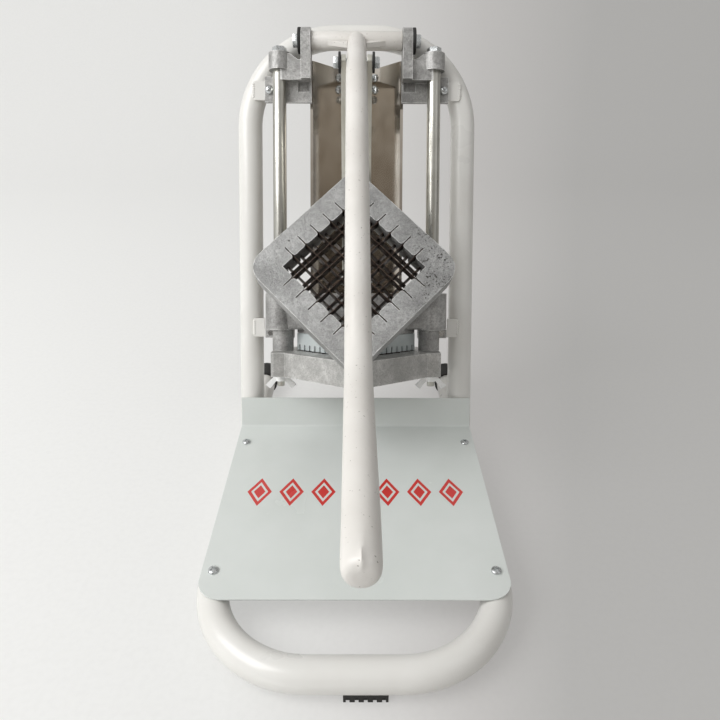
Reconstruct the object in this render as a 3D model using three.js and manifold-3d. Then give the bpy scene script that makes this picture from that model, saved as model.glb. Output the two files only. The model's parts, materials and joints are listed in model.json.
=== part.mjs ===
// Lever-operated french fry cutter on a bent tube stand.
// Millimetres, +X right, +Y back, +Z up. The origin is the middle of the front foot's resting face.
import * as THREE from 'three';
import { mergeVertices } from 'three/addons/utils/BufferGeometryUtils.js';
import Module from 'manifold-3d';

const wasm = await Module();
wasm.setup();

const degree = Math.PI / 180;
const root2 = Math.SQRT2;

// Shared fits
const fit_gap = 0.3;           // between pieces that touch or turn in each other
const cut_overrun = 2;         // how far a cutting tool passes through a face
const round_sides = 14;        // facets of small round pieces
const tube_sides = 12;         // facets round a frame tube
const screw_sides = 10;
const pan_rim_share = 0.33;    // straight rim, share of a pan head's height
const pan_flat_share = 0.33;   // flat middle's radius, share of its diameter

// The opening sets the block, the block sets the rods, and the rods set the frame
const fry_size = 8;            // finished fries are this square
const opening_side = 92;
const block_rim = 24.4;        // frame of the block round its opening
const block_side = opening_side + 2 * block_rim;
const rod_from_corner = 19.56; // rod centres inside the block's outer corners
const rod_x = block_side / root2 - rod_from_corner;
const tube_d = 25.4;
const side_gap = 21.6;         // rod centres to the frame tubes' inner sides
const rod_to_tube = 11.3;      // and to the front of the upright tubes
const pusher_gap = 1.8;        // pusher clear of the opening, each side
const pusher_side = opening_side - 2 * pusher_gap;
const trough_setback = 16;     // trough's lips inside the pusher's corners
const trough_half = pusher_side / root2 - trough_setback;
const trough_lip = 3;

// Stand: bent steel tube
const tube_wall = 1.5;
const frame_width = 2 * (rod_x + side_gap + tube_d);  // over the tubes
const base_bend_r = 80;        // centreline, front corners
const rail_length = 415;       // front tube centreline to the open rear ends
const tube_lift = 3.5;         // tube underside above the table
const lean = 21.6 * degree;    // uprights and rods lean back by this
const foot_y = 296;            // uprights meet the rails here
const upright_bend_r = 95;
const upright_top = 411.4;     // top tube centreline, along the slope

// Base sheet with its upturned flap
const plate_inset = 3;         // its sides inside the frame's outer sides
const plate_width = frame_width - 2 * plate_inset;
const plate_t = 1.2;
const plate_front_y = 51.6;
const plate_corner_r = 20;
const plate_bend_r = 3;
const flap_top = 29;           // along the slope
const screw_rear_inset = 30;   // rear screws in front of the bend
const screw_front_inset = 28;  // front screws behind the plate's front edge
const plate_screw_d = 4;
const plate_screw_head_d = 8.4;
const plate_screw_head_h = 2.2;
const plate_screw_tip = 6;     // shank below the sheet

// Feet
const front_foot_width = 32;
const front_foot_depth = 19;
const front_foot_x = 8;        // pushed on a little to the right
const front_foot_height = 9;
const foot_notches = 5;
const foot_notch_w = 2.6;
const foot_notch_depth = 1.6;
const foot_notch_share = 0.5;  // share of the foot's height
const cap_wall = 2.1;
const cap_length = 26;
const cap_pad_width = 16;

// Weld-on tabs behind the cast brackets
const tab_t = 4;
const tab_proud = 1.3;         // in front of the tubes
const tab_back = tab_t - tab_proud - tube_d / 2;         // rear face, along the tilted frame's Y
const tab_inner_out = 4;          // from the middle
const tab_inner = rod_x + tab_inner_out;
const tab_upper_outer_out = 28;   // the tabs lie across the front of the tube
const tab_upper_outer = rod_x + tab_upper_outer_out;
const tab_lower_outer_out = 29;
const tab_lower_outer = rod_x + tab_lower_outer_out;
const tab_height = 20;
const tab_upper_z_drop = 59.4;
const tab_upper_z = upright_top - tab_upper_z_drop;
const tab_lower_z = 101.6;
const tab_notch_x_out = 18.5;      // the lower tabs stop short of the carriage's bosses
const tab_notch_x = rod_x + tab_notch_x_out;

// Guide rods and the studs that carry the blade block
const rod_y = -tube_d / 2 - rod_to_tube;
const rod_d = 14;
const stud_d = 8;
const stud_hole_d = 9;
const stud_bottom = 40;

// Head brackets: sand-cast, left and right
const boss_d = 22.5;
const boss_bottom_drop = 42.4;
const boss_bottom = upright_top - boss_bottom_drop;
const boss_height = 17.6;
const arm_bottom_drop = 52.9;
const arm_bottom = upright_top - arm_bottom_drop;
const arm_top_drop = 32.8;
const arm_top = upright_top - arm_top_drop;
const arm_ahead = 7;           // of the rods' centres
const arm_front = rod_y - arm_ahead;
const arm_behind = 11;
const arm_back = rod_y + arm_behind;
const ear_gap = 0.5;           // ears outside the trough
const ear_inner = trough_half + ear_gap;
const ear_t = 10;
const ear_r = 13;
const ear_foot_ahead = 13;
const ear_foot_front = rod_y - ear_foot_ahead;
const flange_t = 5;
const flange_outer_out = 16;
const flange_outer = rod_x + flange_outer_out;
const flange_bottom_drop = 72.9;
const flange_bottom = upright_top - flange_bottom_drop;
const flange_height = 26.5;
const pad_gap = 1;             // pads behind the flanges hold the strap, clear of the trough
const pad_inner = trough_half + trough_lip + pad_gap;
const pad_width = 11.5;
const pad_outer = pad_inner + pad_width;
const pad_bottom_drop = 59.4;
const pad_bottom = upright_top - pad_bottom_drop;
const pocket_inset = 2;
const pocket_inner = ear_inner + pocket_inset;
const pocket_width = 12.5;
const pocket_height = 11.5;
const pocket_bottom_drop = 62;
const pocket_bottom = upright_top - pocket_bottom_drop;
const pocket_depth = 3.5;
const bracket_screw_x_out = 11;
const bracket_screw_x = rod_x + bracket_screw_x_out;
const bracket_screw_z_drop = 60.4;
const bracket_screw_z = upright_top - bracket_screw_z_drop;
const bracket_screw_d = 6;
const bracket_screw_head_d = 8.8;
const bracket_screw_head_h = 3.4;
const rod_bolt_af = 13;
const rod_bolt_head_h = 6;
const rod_bolt_length = 12;

// Lower brackets: sleeve and lug, left and right
const sleeve_d = 22.5;
const sleeve_x_in = 2.5;
const sleeve_x = rod_x - sleeve_x_in;
const sleeve_top = 100.8;
const lug_inner_in = 14;
const lug_inner = rod_x - lug_inner_in;
const lug_outer_out = 17;
const lug_outer = rod_x + lug_outer_out;
const lug_bottom = 91;
const lower_screw_x_out = 11.5;
const lower_screw_x = rod_x + lower_screw_x_out;
const lower_screw_z = 95.9;
const lower_screw_head_d = 8.2;

// Lever, its crossbar and pivots
const pivot_ahead = 2;         // of the rods' centres
const pivot_y = rod_y - pivot_ahead;
const pivot_z_drop = 12.4;
const pivot_z = upright_top - pivot_z_drop;
const crossbar_d = 19.05;
const lever_d = 19.05;
const lever_start_angle = 10.4 * degree;  // first run, below level
const lever_middle_angle = 36.7 * degree; // second run, below level
const lever_first_reach = 118;           // pivot to first bend, level
const lever_second_reach = 343;          // pivot to second bend, level
const lever_tip_reach = 518;
const lever_skew = 3.5;                  // the tip stands this far to the right
const lever_bend_1_r = 90;
const lever_bend_2_r = 70;
const lever_end_round = 4;
const gusset_leg_share = 0.69; // of the crossbar beside the lever
const gusset_leg_x = (ear_inner - lever_d / 2) * gusset_leg_share;
const gusset_leg_y = 13;
const gusset_t = 5;
const pivot_bolt_d = 9;
const pivot_bolt_depth = 18;
const pivot_bolt_af = 13;
const pivot_bolt_head_h = 5;
const pivot_washer_d = 26;
const pivot_washer_t = 3.2;

// Links between the lever and the carriage
const link_t = 4.5;
const link_width = 14;
const link_pin_reach = 83.4;    // pivot to link pin, along the lever's first run
const link_pin_d = 7;
const link_washer_d = 19;
const link_washer_t = 2.2;
const link_bolt_af = 10;
const link_bolt_head_h = 4.5;
const lower_pin_z = 154;
const lower_pin_d = 8;
const lower_pin_head_d = 12;
const lower_pin_head_t = 2.5;

// Carriage that slides on the rods, and its pusher
const carriage_bottom = 101.3;
const carriage_height = 38;
const carriage_boss_d = 32;
const carriage_front = 13;     // plate's faces in front of and behind the rods' centres
const carriage_back = 6.5;
const carriage_edge_r = 3;
const carriage_lug_t = 18;
const carriage_lug_r = 11;
const pin_play_across = 4.4;   // play of the lower pin in the lug's long eye
const pin_play_down = 0.9;
const pin_play_up = 2;
const slide_gap = 0.35;        // rod bore, each side
const pusher_plate_t = 4;
const peg_root_t = 12;
const peg_groove_w = 1.9;

// Blade blocks: cast frame, two layers of strip blades
const block_t = 25;
const block_top = 78.4;        // the mounted block's top face
const block_corner_r = 18;
const block_point_r = 3;
const slot_depth = 12;
const slot_w = 1.2;
const tooth_r = 2.4;
const blade_t = 0.6;
const blade_inset = 1;         // blade edges below the block's faces
const layer_step = 2;          // each layer has every second blade
const end_reach_out = 8;          // the mounted block's squared ends
const end_reach = rod_x + end_reach_out;
const end_inner_in = 9;
const end_inner = rod_x - end_inner_in;
const end_half_depth = 26;
const end_r = 4;

// Wing nuts
const washer_d = 18;
const washer_t = 1.6;
const hub_d = 12;
const hub_top_d = 10;
const hub_h = 6;
const wing_t = 3;
const wing_reach = 16.5;
const wing_drop = 14;
const wing_root_share = 0.62;  // where a wing starts, share of the stud's and hub's size
const wing_tip_share = 0.68;   // inner end of a wing's rounded tip, share of its reach
const wing_shoulder_share = 0.72;

// V trough and its strap
const trough_t = 1.2;
const trough_top_drop = 26;
const trough_top = upright_top - trough_top_drop;
const trough_clear = 1.6;      // between the pusher's sides and the trough
const strap_t = 2.5;
const strap_bottom_drop = 55.4;
const strap_bottom = upright_top - strap_bottom_drop;
const strap_height = 27;
const strap_ear = 14;
const strap_ear_y = 0;         // front faces of the strap's ears
const trough_screw_x = 20;
const trough_screw_z_drop = 42.5;
const trough_screw_z = upright_top - trough_screw_z_drop;
const trough_screw_pitch = 13;
const trough_screw_d = 4;
const trough_screw_head_d = 9;
const trough_screw_head_h = 2.4;

// Spare blade block, leaning behind the lever
const spare_drop = 15.26;      // its lower corner hangs below the mounted block's front corner
const spare_seat = block_side / root2 - spare_drop;
const spare_shift = 1.7;       // it stands this far to the left

const colours = {
  white_enamel: { color: 0xeceae5, roughness: 0.35, metalness: 0 },
  sheet_enamel: { color: 0xd6dbd7, roughness: 0.3, metalness: 0 },
  cast_aluminium: { color: 0xa3a3a0, roughness: 0.6, metalness: 0.8 },
  chromed_steel: { color: 0xb9b6a8, roughness: 0.15, metalness: 1 },
  mirror_steel: { color: 0xb3aca0, roughness: 0.08, metalness: 1 },
  zinc: { color: 0xc6c8c4, roughness: 0.3, metalness: 1 },
  bright_bar: { color: 0xd2d1c4, roughness: 0.3, metalness: 1 },
  blade_steel: { color: 0x5d5048, roughness: 0.45, metalness: 0.8 },
  nylon: { color: 0xcfdadb, roughness: 0.5, metalness: 0 },
  black_rubber: { color: 0x262624, roughness: 0.8, metalness: 0 },
};

// Solids: three geometry in and out of the boolean library
function solid(geometry) {
  const bare = geometry.clone();
  bare.deleteAttribute('normal');
  bare.deleteAttribute('uv');
  const merged = mergeVertices(bare, 1e-4);
  const corners = merged.index ? merged.index.array : merged.attributes.position.array.map((_, i) => i);
  return new wasm.Manifold(new wasm.Mesh({
    numProp: 3,
    vertProperties: new Float32Array(merged.attributes.position.array),
    triVerts: new Uint32Array(corners),
  }));
}

function geometryOf(body) {
  const data = body.getMesh();
  const geometry = new THREE.BufferGeometry();
  const points = new Float32Array(data.numVert * 3);
  for (let i = 0; i < data.numVert; i += 1) {
    for (let axis = 0; axis < 3; axis += 1) points[i * 3 + axis] = data.vertProperties[i * data.numProp + axis];
  }
  geometry.setAttribute('position', new THREE.BufferAttribute(points, 3));
  geometry.setIndex(new THREE.BufferAttribute(new Uint32Array(data.triVerts), 1));
  const flat = geometry.toNonIndexed();
  flat.computeVertexNormals();
  return flat;
}

function joined(...shapes) {
  return shapes.map((s) => (s.isBufferGeometry ? solid(s) : s)).reduce((all, next) => all.add(next));
}

function cut(body, ...tools) {
  const start = body.isBufferGeometry ? solid(body) : body;
  return tools.reduce((left, tool) => left.subtract(tool.isBufferGeometry ? solid(tool) : tool), start);
}

function box(x0, x1, y0, y1, z0, z1) {
  const geometry = new THREE.BoxGeometry(x1 - x0, y1 - y0, z1 - z0);
  return geometry.translate((x0 + x1) / 2, (y0 + y1) / 2, (z0 + z1) / 2);
}

function rod(diameter, z0, z1, x = 0, y = 0, sides = round_sides) {
  const geometry = new THREE.CylinderGeometry(diameter / 2, diameter / 2, z1 - z0, sides);
  return geometry.rotateX(Math.PI / 2).translate(x, y, (z0 + z1) / 2);
}

function rodAlongX(diameter, x0, x1, y = 0, z = 0, sides = round_sides) {
  const geometry = new THREE.CylinderGeometry(diameter / 2, diameter / 2, x1 - x0, sides);
  return geometry.rotateZ(-Math.PI / 2).translate((x0 + x1) / 2, y, z);
}

function rodAlongY(diameter, y0, y1, x = 0, z = 0, sides = round_sides) {
  const geometry = new THREE.CylinderGeometry(diameter / 2, diameter / 2, y1 - y0, sides);
  return geometry.translate(x, (y0 + y1) / 2, z);
}

function shapeOf(points) {
  return new THREE.Shape(points.map(([x, y]) => new THREE.Vector2(x, y)));
}

function prism(shape, z0, z1, curveSegments = 4) {
  const settings = { depth: z1 - z0, bevelEnabled: false, curveSegments };
  return new THREE.ExtrudeGeometry(shape, settings).translate(0, 0, z0);
}

// A profile drawn in Y and Z, extruded along X
function prismAlongX(points, x0, x1) {
  const geometry = prism(shapeOf(points), 0, x1 - x0);
  return geometry.rotateX(Math.PI / 2).rotateZ(Math.PI / 2).translate(x0, 0, 0);
}

function arcPoints(cx, cy, radius, from, to, steps) {
  return Array.from({ length: steps + 1 }, (_, i) => {
    const angle = from + ((to - from) * i) / steps;
    return [cx + radius * Math.cos(angle), cy + radius * Math.sin(angle)];
  });
}

// A path of straight runs and round bends; its sections stand only where the tube needs them
class TubePath extends THREE.Curve {
  constructor(corners, radii, bendSteps = 8) {
    super();
    const first = corners[1].clone().sub(corners[0]).normalize();
    this.stations = [{ point: corners[0].clone(), tangent: first }];
    for (let i = 1; i < corners.length - 1; i += 1) this.addBend(corners, i, radii[i - 1], bendSteps);
    const end = corners[corners.length - 1];
    this.stations.push({ point: end.clone(), tangent: end.clone().sub(corners[corners.length - 2]).normalize() });
    this.steps = this.stations.length - 1;
  }

  addBend(corners, i, radius, bendSteps) {
    const ahead = corners[i + 1].clone().sub(corners[i]).normalize();
    const behind = corners[i - 1].clone().sub(corners[i]).normalize();
    const half = Math.acos(behind.dot(ahead)) / 2;
    const centre = corners[i].clone()
      .addScaledVector(behind.clone().add(ahead).normalize(), radius / Math.sin(half));
    const start = corners[i].clone().addScaledVector(behind, radius / Math.tan(half)).sub(centre);
    const direction = behind.clone().negate();
    const turn = Math.PI - 2 * half;
    for (let step = 0; step <= bendSteps; step += 1) {
      const angle = (turn * step) / bendSteps;
      const point = centre.clone().addScaledVector(start, Math.cos(angle))
        .addScaledVector(direction, radius * Math.sin(angle));
      const tangent = direction.clone().multiplyScalar(Math.cos(angle))
        .addScaledVector(start.clone().normalize(), -Math.sin(angle));
      this.stations.push({ point, tangent });
    }
  }

  station(u) {
    return this.stations[Math.round(u * this.steps)];
  }

  getPoint(u) {
    return this.station(u).point.clone();
  }

  getPointAt(u) {
    return this.getPoint(u);
  }

  getTangentAt(u) {
    return this.station(u).tangent.clone();
  }
}

function ring(radius, sides) {
  return arcPoints(0, 0, radius, Math.PI / sides, 2 * Math.PI - Math.PI / sides, sides - 1);
}

function bentTube(path, diameter, wall, sides = tube_sides) {
  const section = shapeOf(ring(diameter / 2, sides));
  const bore = ring(diameter / 2 - wall, sides).map(([x, y]) => new THREE.Vector2(x, y));
  if (wall > 0) section.holes.push(new THREE.Path(bore));
  return new THREE.ExtrudeGeometry(section, { steps: path.steps, bevelEnabled: false, extrudePath: path });
}

function hexBolt(acrossFlats, headHeight, shankD, shankLength) {
  // head on top of z = 0, shank below it
  const head = rod(acrossFlats / Math.cos(Math.PI / 6), 0, headHeight, 0, 0, 6);
  return joined(head, rod(shankD, -shankLength, headHeight / 2));
}

function panScrew(headD, headHeight, shankD, shankLength) {
  const profile = [
    [0, -shankLength], [shankD / 2, -shankLength], [shankD / 2, 0], [headD / 2, 0],
    [headD / 2, headHeight * pan_rim_share], [headD * pan_flat_share, headHeight], [0, headHeight],
  ];
  const turned = new THREE.LatheGeometry(profile.map(([x, y]) => new THREE.Vector2(x, y)), screw_sides);
  return turned.rotateX(Math.PI / 2);
}

// Scene graph
const cutter = new THREE.Group();
const tilted = new THREE.Group();
const rail_z = tube_d / 2 + tube_lift;
const plate_top = rail_z + tube_d / 2 + fit_gap + plate_t;
tilted.position.set(0, foot_y, plate_top);
tilted.rotation.x = -lean;
cutter.add(tilted);

// The place in the whole part's frame of a point of the tilted frame
function fromTilted(y, z) {
  return {
    y: foot_y + y * Math.cos(lean) + z * Math.sin(lean),
    z: plate_top - y * Math.sin(lean) + z * Math.cos(lean),
  };
}

function piece(name, body, look, parent = cutter) {
  const geometry = body.isBufferGeometry ? body : geometryOf(body);
  const mesh = new THREE.Mesh(geometry, new THREE.MeshStandardMaterial(colours[look]));
  mesh.name = name;
  parent.add(mesh);
  return mesh;
}

const sides = [['left', -1], ['right', 1]];

function mirrored(geometry, side) {
  if (side > 0) return geometry;
  return solid(geometry.isBufferGeometry ? geometry : geometryOf(geometry)).mirror([1, 0, 0]);
}

// Stand
function baseTube() {
  const x = (frame_width - tube_d) / 2;
  const path = new TubePath([
    new THREE.Vector3(-x, rail_length, rail_z), new THREE.Vector3(-x, 0, rail_z),
    new THREE.Vector3(x, 0, rail_z), new THREE.Vector3(x, rail_length, rail_z),
  ], [base_bend_r, base_bend_r]);
  const screws = plateScrewPlaces().map(([sx, sy]) => rod(
    plate_screw_d + 2 * fit_gap, rail_z + tube_d / 2 - tube_wall - cut_overrun, plate_top, sx, sy, 8));
  return cut(bentTube(path, tube_d, tube_wall), ...screws);
}

const carriage_top = carriage_bottom + carriage_height;

function uprightPath() {
  const x = (frame_width - tube_d) / 2;
  const reach = -tube_d;
  return new TubePath([
    new THREE.Vector3(-x, 0, reach), new THREE.Vector3(-x, 0, upright_top),
    new THREE.Vector3(x, 0, upright_top), new THREE.Vector3(x, 0, reach),
  ], [upright_bend_r, upright_bend_r]);
}

function uprightTube() {
  const x = (frame_width - tube_d) / 2;
  // the feet are fish-mouthed to sit on the rails
  const saddles = sides.map(([, side]) => {
    const saddle = rodAlongY(tube_d + 2 * fit_gap, -4 * tube_d, 4 * tube_d, side * x, 0, 24);
    return saddle.rotateX(lean).translate(0, (plate_top - rail_z) * Math.sin(lean),
      -(plate_top - rail_z) * Math.cos(lean));
  });
  const below = sides.map(([, side]) => {
    const block = box(-tube_d, tube_d, -4 * tube_d, 4 * tube_d, -4 * tube_d, 0).rotateX(lean);
    return block.translate(side * x, (plate_top - rail_z) * Math.sin(lean),
      -(plate_top - rail_z) * Math.cos(lean));
  });
  return cut(bentTube(uprightPath(), tube_d, tube_wall), ...saddles, ...below);
}

function tab(side, z, outer) {
  const plate = box(tab_inner, outer, tab_back - tab_t, tab_back, z - tab_height / 2, z + tab_height / 2);
  const notch = box(0, tab_notch_x, -tube_d, tube_d, lower_screw_z + tab_t, carriage_top);
  return mirrored(cut(plate, bentTube(uprightPath(), tube_d + 2 * fit_gap, 0), notch), side);
}

piece('base_tube', baseTube(), 'white_enamel');
piece('upright_tube', uprightTube(), 'white_enamel', tilted);

// Base sheet
function plateScrewPlaces() {
  const x = (frame_width - tube_d) / 2;
  const rear = plateBendY() - screw_rear_inset;
  const front = plate_front_y + screw_front_inset;
  return [[-x, rear], [x, rear], [-x, front], [x, front]];
}

function plateBendY() {
  return foot_y - (tube_d / 2 + fit_gap + plate_t) / Math.cos(lean);
}

function basePlate() {
  const bend = plateBendY();
  const turn = Math.PI / 2 - lean;                       // from level to the slope
  const setback = (plate_bend_r + plate_t) * Math.tan(turn / 2);
  const centre = [bend - setback, plate_top + plate_bend_r];
  const inner = arcPoints(...centre, plate_bend_r, -Math.PI / 2, -lean, 4);
  const outer = arcPoints(...centre, plate_bend_r + plate_t, -Math.PI / 2, -lean, 4);
  const along = [Math.sin(lean), Math.cos(lean)];
  const rise = flap_top;
  const last = (points) => points[points.length - 1];
  const end = (p) => [p[0] + along[0] * rise, p[1] + along[1] * rise];
  const section = [
    [plate_front_y, plate_top - plate_t], ...outer, end(last(outer)), end(last(inner)),
    ...inner.reverse(), [plate_front_y, plate_top],
  ];
  const sheet = prismAlongX(section, -plate_width / 2, plate_width / 2);
  const r = plate_corner_r;
  const w = plate_width / 2 + fit_gap;
  const outline = [
    ...arcPoints(-w + r, plate_front_y + r, r, Math.PI, 1.5 * Math.PI, 5),
    ...arcPoints(w - r, plate_front_y + r, r, 1.5 * Math.PI, 2 * Math.PI, 5),
    [w, rail_length], [-w, rail_length],
  ];
  const plan = solid(prism(shapeOf(outline), 0, upright_top));
  const holes = plateScrewPlaces().map(([x, y]) => rod(
    plate_screw_d + 2 * fit_gap, rail_z, plate_top + cut_overrun, x, y, 8));
  return cut(solid(sheet).intersect(plan), ...holes);
}

piece('base_plate', basePlate(), 'sheet_enamel');
['rear_left', 'rear_right', 'front_left', 'front_right'].forEach((place, i) => {
  const [x, y] = plateScrewPlaces()[i];
  const screw = panScrew(plate_screw_head_d, plate_screw_head_h, plate_screw_d, plate_screw_tip);
  piece(`plate_screw_${place}`, screw.translate(x, y, plate_top + fit_gap), 'zinc');
});

// Rubber feet
function frontFoot() {
  const back = front_foot_depth / 2;
  const block = box(front_foot_x - front_foot_width / 2, front_foot_x + front_foot_width / 2,
    back - front_foot_depth, back, 0, front_foot_height);
  const tube = rodAlongX(tube_d + 2 * fit_gap, -front_foot_width, front_foot_width, 0, rail_z, 24);
  const pitch = front_foot_width / foot_notches;
  const notches = Array.from({ length: foot_notches }, (_, i) => {
    const x = front_foot_x + (i - (foot_notches - 1) / 2) * pitch;
    return box(x - foot_notch_w / 2, x + foot_notch_w / 2, back - front_foot_depth - cut_overrun,
      back - front_foot_depth + foot_notch_depth, -cut_overrun, front_foot_height * foot_notch_share);
  });
  return cut(block, tube, ...notches);
}

function railCap(side) {
  const x = (side * (frame_width - tube_d)) / 2;
  const inner = tube_d / 2 + fit_gap;
  const outer = inner + cap_wall;
  const profile = [
    [0, 0], [outer, 0], [outer, -cap_length], [inner, -cap_length], [inner, -cap_wall], [0, -cap_wall],
  ];
  const cup = new THREE.LatheGeometry(profile.reverse().map(([r, y]) => new THREE.Vector2(r, y)), 20);
  cup.translate(x, rail_length + cap_wall + fit_gap, rail_z);
  const end = rail_length + cap_wall + fit_gap;
  const pad = box(x - cap_pad_width / 2, x + cap_pad_width / 2, end - cap_length, end, 0, tube_lift);
  const bore = rodAlongY(2 * inner, end - cap_length - cut_overrun, end - cap_wall, x, rail_z, 20);
  const floor = box(x - tube_d, x + tube_d, end - 2 * cap_length, end + cap_length, -tube_d, 0);
  return cut(joined(cup, pad), bore, floor);
}

piece('front_foot', frontFoot(), 'black_rubber');
for (const [name, side] of sides) piece(`rear_cap_${name}`, railCap(side), 'black_rubber');

// Tabs welded to the uprights
for (const [name, side] of sides) {
  piece(`upper_tab_${name}`, cut(tab(side, tab_upper_z, tab_upper_outer), rodAlongY(
    bracket_screw_d + 2 * fit_gap, tab_back - tab_t - cut_overrun, tab_back + cut_overrun,
    side * bracket_screw_x, bracket_screw_z, 8)), 'white_enamel', tilted);
  piece(`lower_tab_${name}`, cut(tab(side, tab_lower_z, tab_lower_outer), rodAlongY(
    bracket_screw_d + 2 * fit_gap, tab_back - tab_t - cut_overrun, tab_back + cut_overrun,
    side * lower_screw_x, lower_screw_z, 8)), 'white_enamel', tilted);
}

// Head brackets
const flange_back = tab_back - tab_t - fit_gap;
const flange_front = flange_back - flange_t;
const boss_top = boss_bottom + boss_height;

function headBracket(side) {
  const boss = rod(boss_d, boss_bottom, boss_top, rod_x, rod_y, 20);
  const arm = box(ear_inner, rod_x, arm_front, arm_back, arm_bottom, arm_top);
  const slope = prism(shapeOf([[ear_inner + ear_t, arm_top - cut_overrun], [rod_x, arm_top - cut_overrun],
    [rod_x, boss_top - cut_overrun], [rod_x - boss_d / 2, boss_top - cut_overrun]]), arm_front, arm_back)
    .rotateX(Math.PI / 2);
  slope.translate(0, arm_front + arm_back, 0);
  const ear = prismAlongX([
    [ear_foot_front, arm_bottom], [arm_back, arm_bottom], [arm_back, arm_top],
    ...arcPoints(pivot_y, pivot_z, ear_r, 0, Math.PI, 8), [ear_foot_front, arm_top],
  ], ear_inner, ear_inner + ear_t);
  const flange = box(ear_inner, flange_outer, flange_front, flange_back,
    flange_bottom, flange_bottom + flange_height);
  const pad = box(pad_inner, pad_outer, flange_back - cut_overrun, strap_ear_y - fit_gap,
    pad_bottom, flange_bottom + flange_height);
  const upright = bentTube(uprightPath(), tube_d + 2 * fit_gap, 0);
  const pocket = box(pocket_inner, pocket_inner + pocket_width, flange_front - cut_overrun,
    flange_front + pocket_depth, pocket_bottom, pocket_bottom + pocket_height);
  const rodBore = rod(rod_d + 2 * fit_gap, flange_bottom - cut_overrun, boss_top - rod_bolt_head_h,
    rod_x, rod_y);
  const boltBore = rod(stud_hole_d, boss_bottom, boss_top + cut_overrun, rod_x, rod_y);
  const screwBore = rodAlongY(bracket_screw_d + 2 * fit_gap, flange_front - cut_overrun,
    flange_back + cut_overrun, bracket_screw_x, bracket_screw_z, 8);
  const pivotBore = rodAlongX(pivot_bolt_d + 2 * fit_gap, ear_inner - cut_overrun,
    ear_inner + ear_t + cut_overrun, pivot_y, pivot_z);
  const body = cut(joined(boss, arm, slope, ear, flange, pad),
    pocket, rodBore, boltBore, screwBore, pivotBore, upright);
  return mirrored(body, side);
}

// Lower brackets
function lowerBracket(side) {
  const sleeve = rod(sleeve_d, block_top + fit_gap, sleeve_top, sleeve_x, rod_y, 20);
  const lug = box(lug_inner, lug_outer, flange_front, flange_back, lug_bottom, sleeve_top);
  const neck = box(lug_inner, rod_x + rod_d / 2, rod_y, flange_front + flange_t / 2,
    lug_bottom, sleeve_top);
  const rodBore = rod(rod_d + 2 * fit_gap, 0, upright_top, rod_x, rod_y);
  const screwBore = rodAlongY(bracket_screw_d + 2 * fit_gap, flange_front - cut_overrun,
    flange_back + cut_overrun, lower_screw_x, lower_screw_z, 8);
  return mirrored(cut(joined(sleeve, lug, neck), rodBore, screwBore), side);
}

// The head screws go in from the front, the lower ones from behind
function headScrew(side) {
  const screw = panScrew(bracket_screw_head_d, bracket_screw_head_h, bracket_screw_d, flange_t + tab_t);
  return screw.rotateX(Math.PI / 2).translate(side * bracket_screw_x, flange_front - fit_gap, bracket_screw_z);
}

function lowerScrew(side) {
  const screw = panScrew(lower_screw_head_d, bracket_screw_head_h, bracket_screw_d, flange_t + tab_t);
  return screw.rotateX(-Math.PI / 2).translate(side * lower_screw_x, tab_back + fit_gap, lower_screw_z);
}

for (const [name, side] of sides) {
  piece(`head_bracket_${name}`, headBracket(side), 'cast_aluminium', tilted);
  piece(`lower_bracket_${name}`, lowerBracket(side), 'cast_aluminium', tilted);
  piece(`head_screw_${name}`, headScrew(side), 'zinc', tilted);
  piece(`lower_screw_${name}`, lowerScrew(side), 'zinc', tilted);
}

// Guide rods, shouldered at the blade block, with a threaded hole in the top end
function guideRod() {
  const top = boss_top - rod_bolt_head_h - fit_gap;
  const shoulder = block_top + fit_gap;
  const hole = top - rod_bolt_length;
  const r = rod_d / 2;
  const profile = [
    [0, stud_bottom], [stud_d / 2, stud_bottom], [stud_d / 2, shoulder], [r, shoulder],
    [r, top], [stud_hole_d / 2, top], [stud_hole_d / 2, hole], [0, hole],
  ];
  const turned = new THREE.LatheGeometry(profile.map(([x, y]) => new THREE.Vector2(x, y)), round_sides);
  return turned.rotateX(Math.PI / 2);
}

for (const [name, side] of sides) {
  piece(`guide_rod_${name}`, guideRod().translate(side * rod_x, rod_y, 0), 'chromed_steel', tilted);
  const bolt = geometryOf(hexBolt(rod_bolt_af, rod_bolt_head_h, stud_d, rod_bolt_length));
  piece(`rod_bolt_${name}`, bolt.translate(side * rod_x, rod_y, boss_top + fit_gap), 'zinc', tilted);
}

// Lever with its crossbar, gussets and pivots, in the whole part's frame at the pivot
const pivot = fromTilted(pivot_y, pivot_z);
const leverGroup = new THREE.Group();
leverGroup.position.set(0, pivot.y, pivot.z);
cutter.add(leverGroup);

const first_bend = { y: -lever_first_reach, z: -lever_first_reach * Math.tan(lever_start_angle) };
const second_bend = {
  x: lever_skew * ((lever_second_reach - lever_first_reach) / (lever_tip_reach - lever_first_reach)),
  y: -lever_second_reach,
  z: first_bend.z - (lever_second_reach - lever_first_reach) * Math.tan(lever_middle_angle),
};
const link_pin = {
  y: -link_pin_reach * Math.cos(lever_start_angle),
  z: -link_pin_reach * Math.sin(lever_start_angle),
};

function leverTube() {
  const path = new TubePath([
    new THREE.Vector3(0, 0, 0), new THREE.Vector3(0, first_bend.y, first_bend.z),
    new THREE.Vector3(second_bend.x, second_bend.y, second_bend.z),
    new THREE.Vector3(lever_skew, -lever_tip_reach, second_bend.z),
  ], [lever_bend_1_r, lever_bend_2_r]);
  const dome = new THREE.CylinderGeometry(lever_d / 2, lever_d / 2 - lever_end_round, lever_end_round, tube_sides)
    .translate(lever_skew, -lever_tip_reach - lever_end_round / 2, second_bend.z);
  const bar = rodAlongX(crossbar_d + 2 * fit_gap, -lever_d, lever_d, 0, 0, 20);
  const pinBore = rodAlongX(link_pin_d + 2 * fit_gap, -lever_d, lever_d, link_pin.y, link_pin.z);
  const behind = box(-lever_d, lever_d, 0, lever_d, -lever_d, lever_d);
  return cut(joined(bentTube(path, lever_d, 0, 14), dome), bar, behind, pinBore);
}

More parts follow.
